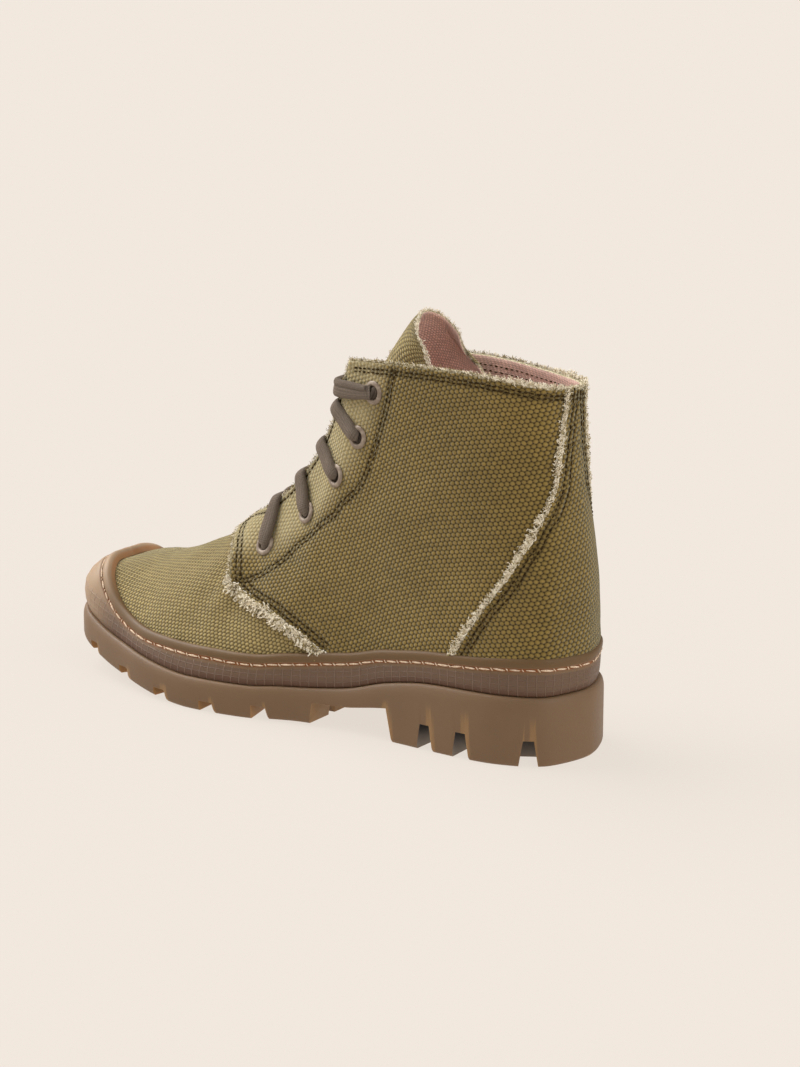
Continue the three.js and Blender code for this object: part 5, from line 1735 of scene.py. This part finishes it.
# Repeated pieces: each tree sets one small shape at every point of a mesh
def geometry_tree(name, inputs):
    tree = bpy.data.node_groups.new(name, "GeometryNodeTree")
    tree.interface.new_socket(name="Places", in_out="INPUT", socket_type="NodeSocketGeometry")
    kinds = {"length": "NodeSocketFloat", "count": "NodeSocketInt", "finish": "NodeSocketMaterial"}
    for label, kind in inputs:
        tree.interface.new_socket(name=label, in_out="INPUT", socket_type=kinds[kind])
    tree.interface.new_socket(name="Pieces", in_out="OUTPUT", socket_type="NodeSocketGeometry")
    entry = tree.nodes.new("NodeGroupInput").outputs
    leave = tree.nodes.new("NodeGroupOutput").inputs
    return tree, Nodes(tree), entry, leave


def set_out(n, given, leave, shape, primary, secondary, pick=None):
    """Puts the shape at each place, turned by two vectors and scaled by the place's size."""
    first = n.add("GeometryNodeInputNamedAttribute", {"Name": "ahead"}, data_type="FLOAT_VECTOR")
    second = n.add("GeometryNodeInputNamedAttribute", {"Name": "out"}, data_type="FLOAT_VECTOR")
    size = n.add("GeometryNodeInputNamedAttribute", {"Name": "size"}, data_type="FLOAT")
    turn = n.add("FunctionNodeAxesToRotation", {0: first, 1: second},
                 primary_axis=primary, secondary_axis=secondary)
    scale = n.add("ShaderNodeCombineXYZ", {0: size, 1: size, 2: size})
    ends = {"Points": given["Places"], "Instance": shape, "Rotation": turn, "Scale": scale}
    if pick is not None:
        ends.update({"Pick Instance": True, "Instance Index": pick})
    pieces = n.add("GeometryNodeInstanceOnPoints", ends)
    real = n.add("GeometryNodeRealizeInstances", {"Geometry": pieces})
    smooth = n.add("GeometryNodeSetShadeSmooth", {"Geometry": real})
    dressed = n.add("GeometryNodeSetMaterial", {"Geometry": smooth, "Material": given["Finish"]})
    n.feed(leave["Pieces"], dressed)


def stitch_tree():
    """A stitch is a slim round-ended stroke lying along the seam."""
    tree, n, given, leave = geometry_tree(
        "stitches", [("Stitch length", "length"), ("Thread", "length"), ("Finish", "finish")])
    ball = n.add("GeometryNodeMeshUVSphere", {"Segments": 6, "Rings": 5, "Radius": 0.5})
    size = n.add("ShaderNodeCombineXYZ",
                 {0: given["Thread"], 1: given["Thread"], 2: given["Stitch length"]})
    long_ball = n.add("GeometryNodeTransform", {"Geometry": ball, "Scale": size})
    lying = n.add("GeometryNodeTransform", {"Geometry": long_ball, "Rotation": (0, math.pi / 2, 0)})
    set_out(n, given, leave, lying, "X", "Z")
    return tree


def fray_tree(kinds=6):
    """Loose ends of yarn: a few curled shapes, picked at random for each place."""
    tree, n, given, leave = geometry_tree(
        "frayed yarn",
        [("Yarn length", "length"), ("Yarn", "length"), ("Curl", "length"), ("Seed", "count"),
         ("Finish", "finish")])
    joined = tree.nodes.new("GeometryNodeJoinGeometry")
    end = n.add("ShaderNodeCombineXYZ", {2: given["Yarn length"]})
    profile = n.add("GeometryNodeCurvePrimitiveCircle", {"Resolution": 3, "Radius": given["Yarn"]})
    for kind in range(kinds):
        line = n.add("GeometryNodeCurvePrimitiveLine", {"End": end})
        fine = n.add("GeometryNodeResampleCurve", {"Curve": line, "Count": 6})
        here = n.add("GeometryNodeInputPosition")
        shifted = n.add("ShaderNodeVectorMath", {0: here, 1: (0.07 * kind, 0.3, 0)},
                        operation="ADD")
        noise = n.add("ShaderNodeTexNoise",
                      {"Vector": shifted, "Scale": 620.0, "Detail": 1.0}, out=1)
        middle = n.add("ShaderNodeVectorMath", {0: noise, 1: (0.5, 0.5, 0.5)}, operation="SUBTRACT")
        bend = n.math("MULTIPLY", n.add("GeometryNodeSplineParameter"), given["Curl"])
        move = n.add("ShaderNodeVectorMath", {0: middle, "Scale": bend}, operation="SCALE")
        curled = n.add("GeometryNodeSetPosition", {"Geometry": fine, "Offset": move})
        yarn = n.add("GeometryNodeCurveToMesh",
                     {"Curve": curled, "Profile Curve": profile, "Fill Caps": True})
        tree.links.new(n.add("GeometryNodeGeometryToInstance", {0: yarn}), joined.inputs[0])
    pick = tree.nodes.new("FunctionNodeRandomValue")
    pick.data_type = "INT"
    pick.inputs[4].default_value = 0
    pick.inputs[5].default_value = kinds - 1
    n.feed(pick.inputs["Seed"], given["Seed"])
    set_out(n, given, leave, joined.outputs[0], "Z", "X", pick.outputs[2])
    return tree


def eyelet_tree():
    """A rolled ring with a short tube, its back set on the canvas."""
    tree, n, given, leave = geometry_tree(
        "eyelets",
        [("Outer", "length"), ("Hole", "length"), ("Flange", "length"), ("Tube", "length"),
         ("Finish", "finish")])
    outer = n.math("MULTIPLY", given["Outer"], 0.5)
    hole = n.math("MULTIPLY", given["Hole"], 0.5)
    span = n.math("SUBTRACT", outer, hole)
    rail = n.add("GeometryNodeCurvePrimitiveCircle", {"Resolution": 48, "Radius": hole})
    shares = [(1.00, 0.0), (1.00, 0.22), (0.92, 0.50), (0.76, 0.82), (0.54, 1.04), (0.32, 1.06),
              (0.14, 0.86), (0.03, 0.52), (0.0, 0.15), (0.0, -1.0), (0.16, -1.0), (0.18, 0.0)]
    joined = tree.nodes.new("GeometryNodeMeshToCurve")
    strip = n.add("GeometryNodeMeshLine", {"Count": len(shares)})
    index = n.add("GeometryNodeInputIndex")
    profile = None
    for k, (share, rise) in enumerate(shares):
        here = n.add("FunctionNodeCompare", {2: index, 3: k}, data_type="INT", operation="EQUAL")
        x = n.math("MULTIPLY", span, share)
        z = n.math("MULTIPLY", given["Tube"] if rise < 0 else given["Flange"], -rise)
        at = n.add("ShaderNodeCombineXYZ", {0: x, 1: z})
        part = n.add("GeometryNodeSwitch", {0: here, 1: (0.0, 0.0, 0.0), 2: at},
                     input_type="VECTOR")
        if profile is not None:
            part = n.add("ShaderNodeVectorMath", {0: profile, 1: part}, operation="ADD")
        profile = part
    section = n.add("GeometryNodeSetPosition", {"Geometry": strip, "Position": profile})
    n.feed(joined.inputs[0], section)
    closed = n.add("GeometryNodeSetSplineCyclic", {"Geometry": joined.outputs[0], "Cyclic": True})
    ring = n.add("GeometryNodeCurveToMesh", {"Curve": rail, "Profile Curve": closed})
    set_out(n, given, leave, ring, "Z", "X")
    return tree


STITCHES = stitch_tree()
FRAYS = fray_tree()


def place_points(name, points, ahead, out, size):
    mesh = bpy.data.meshes.new(name)
    mesh.from_pydata(placed(points).tolist(), [], [])
    for label, values in (("ahead", ahead), ("out", out)):
        attribute = mesh.attributes.new(label, "FLOAT_VECTOR", "POINT")
        attribute.data.foreach_set("vector", np.asarray(values, float).ravel())
    attribute = mesh.attributes.new("size", "FLOAT", "POINT")
    sizes = np.broadcast_to(np.asarray(size, float), len(points)).copy()
    attribute.data.foreach_set("value", sizes)
    return link(name, mesh)


def grow(piece, tree, **values):
    """Runs a tree on a mesh of places and keeps its pieces as a plain mesh."""
    modifier = piece.modifiers.new(tree.name, "NODES")
    modifier.node_group = tree
    for item in tree.interface.items_tree:
        key = item.name.replace(" ", "_")
        if item.item_type == "SOCKET" and item.in_out == "INPUT" and key in values:
            modifier[item.identifier] = values[key]
    settle(piece)
    return piece


def face_top(u, share):
    """Height of the outermost canvas layer over the upper's surface."""
    point = sample(surface, u, share)
    behind = edge_x(COUNTER_FRONT, 0, point[..., 2]) - point[..., 0]
    thick = smoothstep(behind, -0.6, 0.2)
    return CLEARANCE + lerp(PANEL_THICKNESS, COUNTER_THICKNESS, thick)


def even_line(u, share, pitch, lift, start):
    """Points at even steps along a line, with their directions ahead and out."""
    point = on_surface(u, share, lift(u, share))
    walk = walked(point)
    stops = np.arange(pitch * start, walk[-1], pitch)
    su, sv = np.interp(stops, walk, u), np.interp(stops, walk, share)
    point = on_surface(su, sv, lift(su, sv))
    ahead = unit(np.gradient(point, axis=0))
    return point, ahead, unit(sample(surface_normal, su, sv))


SEWING_SEED = 3


def sew(lines, lift, pitch, length, thread, finish, name, skew=0.0, start=0.5, wobble=0.07):
    """A row of stitches along each line."""
    chance = np.random.default_rng(SEWING_SEED)
    points, aheads, outs = [], [], []
    for u, share in lines:
        point, ahead, out = even_line(u, share, pitch, lift, start)
        side = np.cross(out, ahead)
        turn = np.radians(skew) + chance.normal(0, wobble, len(point))
        points.append(point + side * chance.normal(0, wobble, len(point))[:, None])
        aheads.append(ahead * np.cos(turn)[:, None] + side * np.sin(turn)[:, None])
        outs.append(out)
    points = np.concatenate(points)
    size = chance.uniform(0.78, 1.12, len(points))
    piece = place_points(name, points, np.concatenate(aheads), np.concatenate(outs), size)
    return grow(piece, STITCHES, Stitch_length=length * MM, Thread=thread * MM, Finish=finish)


YARN_LENGTH = 3.0
YARN_CURL = 5.0


def fray(edges, name, finish, seed, yarn=0.2):
    """Loose yarn along edges; each edge gives points, ahead, out, aside, density and size."""
    chance = np.random.default_rng(seed)
    parts = [[], [], [], []]
    for point, ahead, out, aside, density, size, spread in edges:
        steps = np.linalg.norm(np.diff(point, axis=0), axis=1)
        walk = walked(point)
        clump = 1 + 0.45 * np.sin(1.3 * walk + seed) + 0.4 * np.sin(3.1 * walk + 2 * seed)
        packed = density * np.clip(clump, 0.15, None)
        weight = np.concatenate([[0], np.cumsum(steps * 0.5 * (packed[1:] + packed[:-1]))])
        count = int(weight[-1])
        stops = np.interp(chance.uniform(0, weight[-1], count), weight, walk)
        pick = lambda table: np.stack([np.interp(stops, walk, table[:, k]) for k in range(3)], -1)
        p, t, n, s = pick(point), pick(ahead), pick(out), pick(aside)
        scale = np.interp(stops, walk, size * (0.8 + 0.25 * clump))
        wide = np.interp(stops, walk, spread)
        root = p + s * (chance.uniform(-0.75, 0.35, count) * wide)[:, None]
        root += n * chance.uniform(-0.1, 0.45, count)[:, None]
        swing = chance.normal(0, 0.9, count)
        aim = s * np.cos(swing)[:, None] + t * np.sin(swing)[:, None]
        aim += n * chance.uniform(-0.05, 0.55, count)[:, None]
        parts[0].append(root)
        parts[1].append(unit(aim))
        parts[2].append(unit(n + 0.6 * chance.normal(0, 1, (count, 3))))
        parts[3].append(scale * chance.uniform(0.55, 1.25, count))
    piece = place_points(name, *[np.concatenate(part) for part in parts])
    return grow(piece, FRAYS, Yarn_length=YARN_LENGTH * MM, Yarn=yarn * MM,
                Curl=YARN_CURL * MM, Seed=seed, Finish=finish)


def surface_edge(line, lift, toward, density, size, spread):
    """An edge on the upper for fray(); toward is +1 or -1 for the side it hangs to."""
    u, share = line
    point = on_surface(u, share, lift)
    ahead = unit(np.gradient(point, axis=0))
    out = unit(sample(surface_normal, u, share))
    aside = np.cross(ahead, out) * toward
    ones = np.ones(len(u))
    return point, ahead, out, aside, density * ones, size * ones, spread * ones


# Camera and light: the photograph's angle, its focal length in pixels and its height
AZIMUTH, ELEVATION = math.radians(34), math.radians(15)
SENSOR = 36
FOCAL_PIXELS = 3003
PHOTO_HEIGHT = 1067
TARGET = (105.0, 0.0, 89.0)
DISTANCE = 1.4

camera = bpy.data.objects.new("camera", bpy.data.cameras.new("camera"))
bpy.context.scene.collection.objects.link(camera)
bpy.context.scene.camera = camera
camera.data.sensor_width = SENSOR
camera.data.sensor_fit = "AUTO"
camera.data.lens = SENSOR * FOCAL_PIXELS / PHOTO_HEIGHT
level = math.cos(ELEVATION)
back = Vector((-math.sin(AZIMUTH) * level, math.cos(AZIMUTH) * level, math.sin(ELEVATION)))
camera.location = Vector(placed(TARGET).tolist()) + back * DISTANCE
camera.rotation_mode = "QUATERNION"
camera.rotation_quaternion = (-back).to_track_quat("-Z", "Y")

FLOOR_REACH = 15
corners = [(x * FLOOR_REACH, y * FLOOR_REACH, 0) for x, y in ((-1, -1), (1, -1), (1, 1), (-1, 1))]
floor_mesh = bpy.data.meshes.new("floor")
floor_mesh.from_pydata(corners, [], [(0, 1, 2, 3)])
floor = link("floor", floor_mesh)
floor_finish = Finish("cream floor", 0.9, specular=0.0)
floor_finish.shader.inputs["Base Color"].default_value = (0.10, 0.091, 0.0825, 1)
floor_finish.shader.inputs["Emission Color"].default_value = (0.877, 0.799, 0.723, 1)
floor_finish.shader.inputs["Emission Strength"].default_value = 0.848
dress(floor, floor_finish.material)
floor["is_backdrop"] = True

world = bpy.data.worlds.new("studio")
world.use_nodes = True
world.node_tree.nodes["Background"].inputs["Color"].default_value = (1, 0.99, 0.975, 1)
world.node_tree.nodes["Background"].inputs["Strength"].default_value = 0.34
bpy.context.scene.world = world
bpy.context.scene.view_settings.view_transform = "Standard"

LIGHTS = (
    ("key", (0.9, -0.05, 1.0), 3.2, 50),
    ("front fill", (1.0, 0.3, 0.35), 1.0, 60),
    ("back fill", (-1.0, 0.1, 0.7), 1.2, 60),
)
for name, toward, energy, angle in LIGHTS:
    sun = bpy.data.objects.new(name, bpy.data.lights.new(name, "SUN"))
    sun.data.energy = energy
    sun.data.angle = math.radians(angle)
    sun.rotation_mode = "QUATERNION"
    sun.rotation_quaternion = Vector(toward).normalized().to_track_quat("Z", "Y")
    bpy.context.scene.collection.objects.link(sun)

# Pieces
def raised(extra):
    """Height of the canvas face with its relief, and a little more."""
    return lambda u, share: face_top(u, share) + cloth_relief(u, share) + extra


def rim_line(low, high, count):
    u = np.linspace(low, high, count)
    return u, np.ones(count)


def holes(seats):
    return [hole_tool(place) for place in seats]


mount(outsole(), "rubber", "outsole")
mount(dress(foxing(), band_rubber), "rubber", "foxing")
mount(dress(insole(), footbed), "lining", "insole")
body = dress(upper_body(), vamp_canvas_lit, lining, raw_edge)
mount(carve(body, holes(SEATS)), "canvas", "upper")
mount(carve(dress(quarter(True), side_canvas_shaded), holes(OUTER_SEATS)), "canvas", "quarter_outer")
mount(carve(dress(quarter(False), side_canvas_shaded), holes(INNER_SEATS)), "canvas", "quarter_inner")
mount(dress(heel_counter(), side_canvas_shaded), "canvas", "heel_counter")
mount(dress(tongue(), vamp_canvas_lit, lining, raw_edge), "canvas", "tongue")

EYELET_TUBE = 3.2
ring_points = np.array([centre for centre, normal, depth in SEATS])
ring_out = np.array([normal for centre, normal, depth in SEATS])
rings = place_points("eyelet_rings", ring_points, ring_out, np.cross(ring_out, [0, 0, 1.0]), 1.0)
grow(rings, eyelet_tree(), Outer=EYELET_OUTER * MM, Hole=EYELET_HOLE * MM,
     Flange=EYELET_FLANGE * MM, Tube=EYELET_TUBE * MM, Finish=metal)
eyelets = [f"eyelet_{side}_{k}" for side in ("outer", "inner") for k in range(1, 6)]
mount(rings, "eyelet", *eyelets)

mount(dress(lace_bar(), cotton), "lace", "lace_bar")
for count in range(1, 5):
    mount(dress(lace_crossing(count), cotton), "lace", f"lace_cross_{count}")

# Seams of the canvas
CANVAS_PITCH = 2.9
canvas_seams = sew(STITCH_ROWS, raised(0.05), CANVAS_PITCH, 2.2, 0.95, seam_thread,
                   "canvas_stitches")
mount(canvas_seams, "lace")


def inner_face(u, share):
    return np.full(np.shape(u), -UPPER_WALL - 0.1)


collar_rows = [below_top(distance, -7.6, 7.6) for distance in (4.0, 6.6)]
collar_seams = sew(collar_rows, inner_face, CANVAS_PITCH, 1.9, 0.7, seam_thread,
                   "collar_lining_stitches")
mount(collar_seams, "lace")


def band_groove(u, share):
    return lerp(LIP_THICKNESS, TOE_LIP_THICKNESS, toe_share(u)) - GROOVE_DEPTH + 0.42


band_u = even_stations(900)[0]
band_line = (band_u, (band_at(band_u) - LIP_WIDTH) / length_at(band_u))
BAND_PITCH = 7.3
band_row = {"lines": [band_line], "lift": band_groove, "pitch": BAND_PITCH,
            "finish": band_thread}
band_seam = sew(length=5.7, thread=0.95, name="band_stitches", skew=-3, wobble=0.04, **band_row)
mount(band_seam, "lace")
band_ticks = sew(length=1.9, thread=0.65, name="band_ticks", skew=-48, start=1.0, **band_row)
mount(band_ticks, "lace")

# Frayed edges: the quarters' fronts are heavy low down, the collar is behind
heavy = 1 - smoothstep(QUARTER_EDGE[1], 0.50, 0.62)
front_density = lerp(4.0, 15.0, heavy)
front_size = lerp(0.45, 1.05, heavy)
front_spread = lerp(0.6, 2.6, heavy)
counter_size = 0.72 + 0.12 * np.sin(np.linspace(0, 19, len(COUNTER_EDGE[0])))
quarter_cream, edge_cream, olive = [], [], []
for quarter_line, counter_line, toward in (
    (QUARTER_EDGE, COUNTER_EDGE, -1), (other_side(QUARTER_EDGE), other_side(COUNTER_EDGE), 1),
):
    front = (front_size, front_spread)
    quarter_cream.append(surface_edge(quarter_line, 1.1, toward, front_density, *front))
    olive.append(surface_edge(quarter_line, 1.1, toward, front_density * 0.5, *front))
    edge_cream.append(surface_edge(counter_line, 1.6, toward, 11.0, counter_size, 1.5))
    olive.append(surface_edge(counter_line, 1.6, toward, 3.0, counter_size, 1.5))
rim = rim_line(-8, 8, 400)
rim_face = face_top(*rim) - 0.5
back_heavy = np.exp(-((np.abs(rim[0]) - 2.2) / 1.6) ** 2)
quarter_cream.append(surface_edge(rim, rim_face, 1, lerp(5.0, 12.0, back_heavy),
                                  lerp(0.38, 0.7, back_heavy), 0.8))
olive.append(surface_edge(rim, rim_face, 1, 5.0, 0.42, 0.9))
for (low, high), cream in (((8, 13.6), edge_cream), ((RING - 13.6, RING - 8), quarter_cream)):
    throat = rim_line(low, high, 160)
    olive.append(surface_edge(throat, 0.9, 1, 3.5, 0.4, 0.6))
    cream.append(surface_edge(throat, 0.9, 1, 2.5, 0.4, 0.6))
mount(fray(quarter_cream, "quarter_frays", fray_thread, 11, yarn=0.24), "canvas")
mount(fray(edge_cream, "edge_frays", fray_thread, 14, yarn=0.24), "canvas")
mount(fray(olive, "olive_frays", green_fray, 12), "canvas")

# Edges of the tongue: line, the line inside it, then density, size and spread of the yarn
border = tongue_rows(*TONGUE_GRID)
tongue_out = tongue_normals(border)
free = slice(TONGUE_FREE, None)
TONGUE_EDGES = (
    ((free, 0), (free, 1), 13.0, 0.75, 2.4),
    ((free, -1), (free, -2), 5.0, 0.4, 0.8),
    ((-1,), (-2,), 10.0, 0.5, 1.0),
)
tongue_edges = []
for edge, inward, *amounts in TONGUE_EDGES:
    line = border[edge]
    aside = unit(line - border[inward])
    ahead = unit(np.gradient(line, axis=0))
    spread = [amount * np.ones(len(line)) for amount in amounts]
    tongue_edges.append((line, ahead, tongue_out[edge], aside, *spread))
mount(fray(tongue_edges, "tongue_frays", fray_thread, 13), "canvas")

bpy.context.view_layer.update()
low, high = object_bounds()
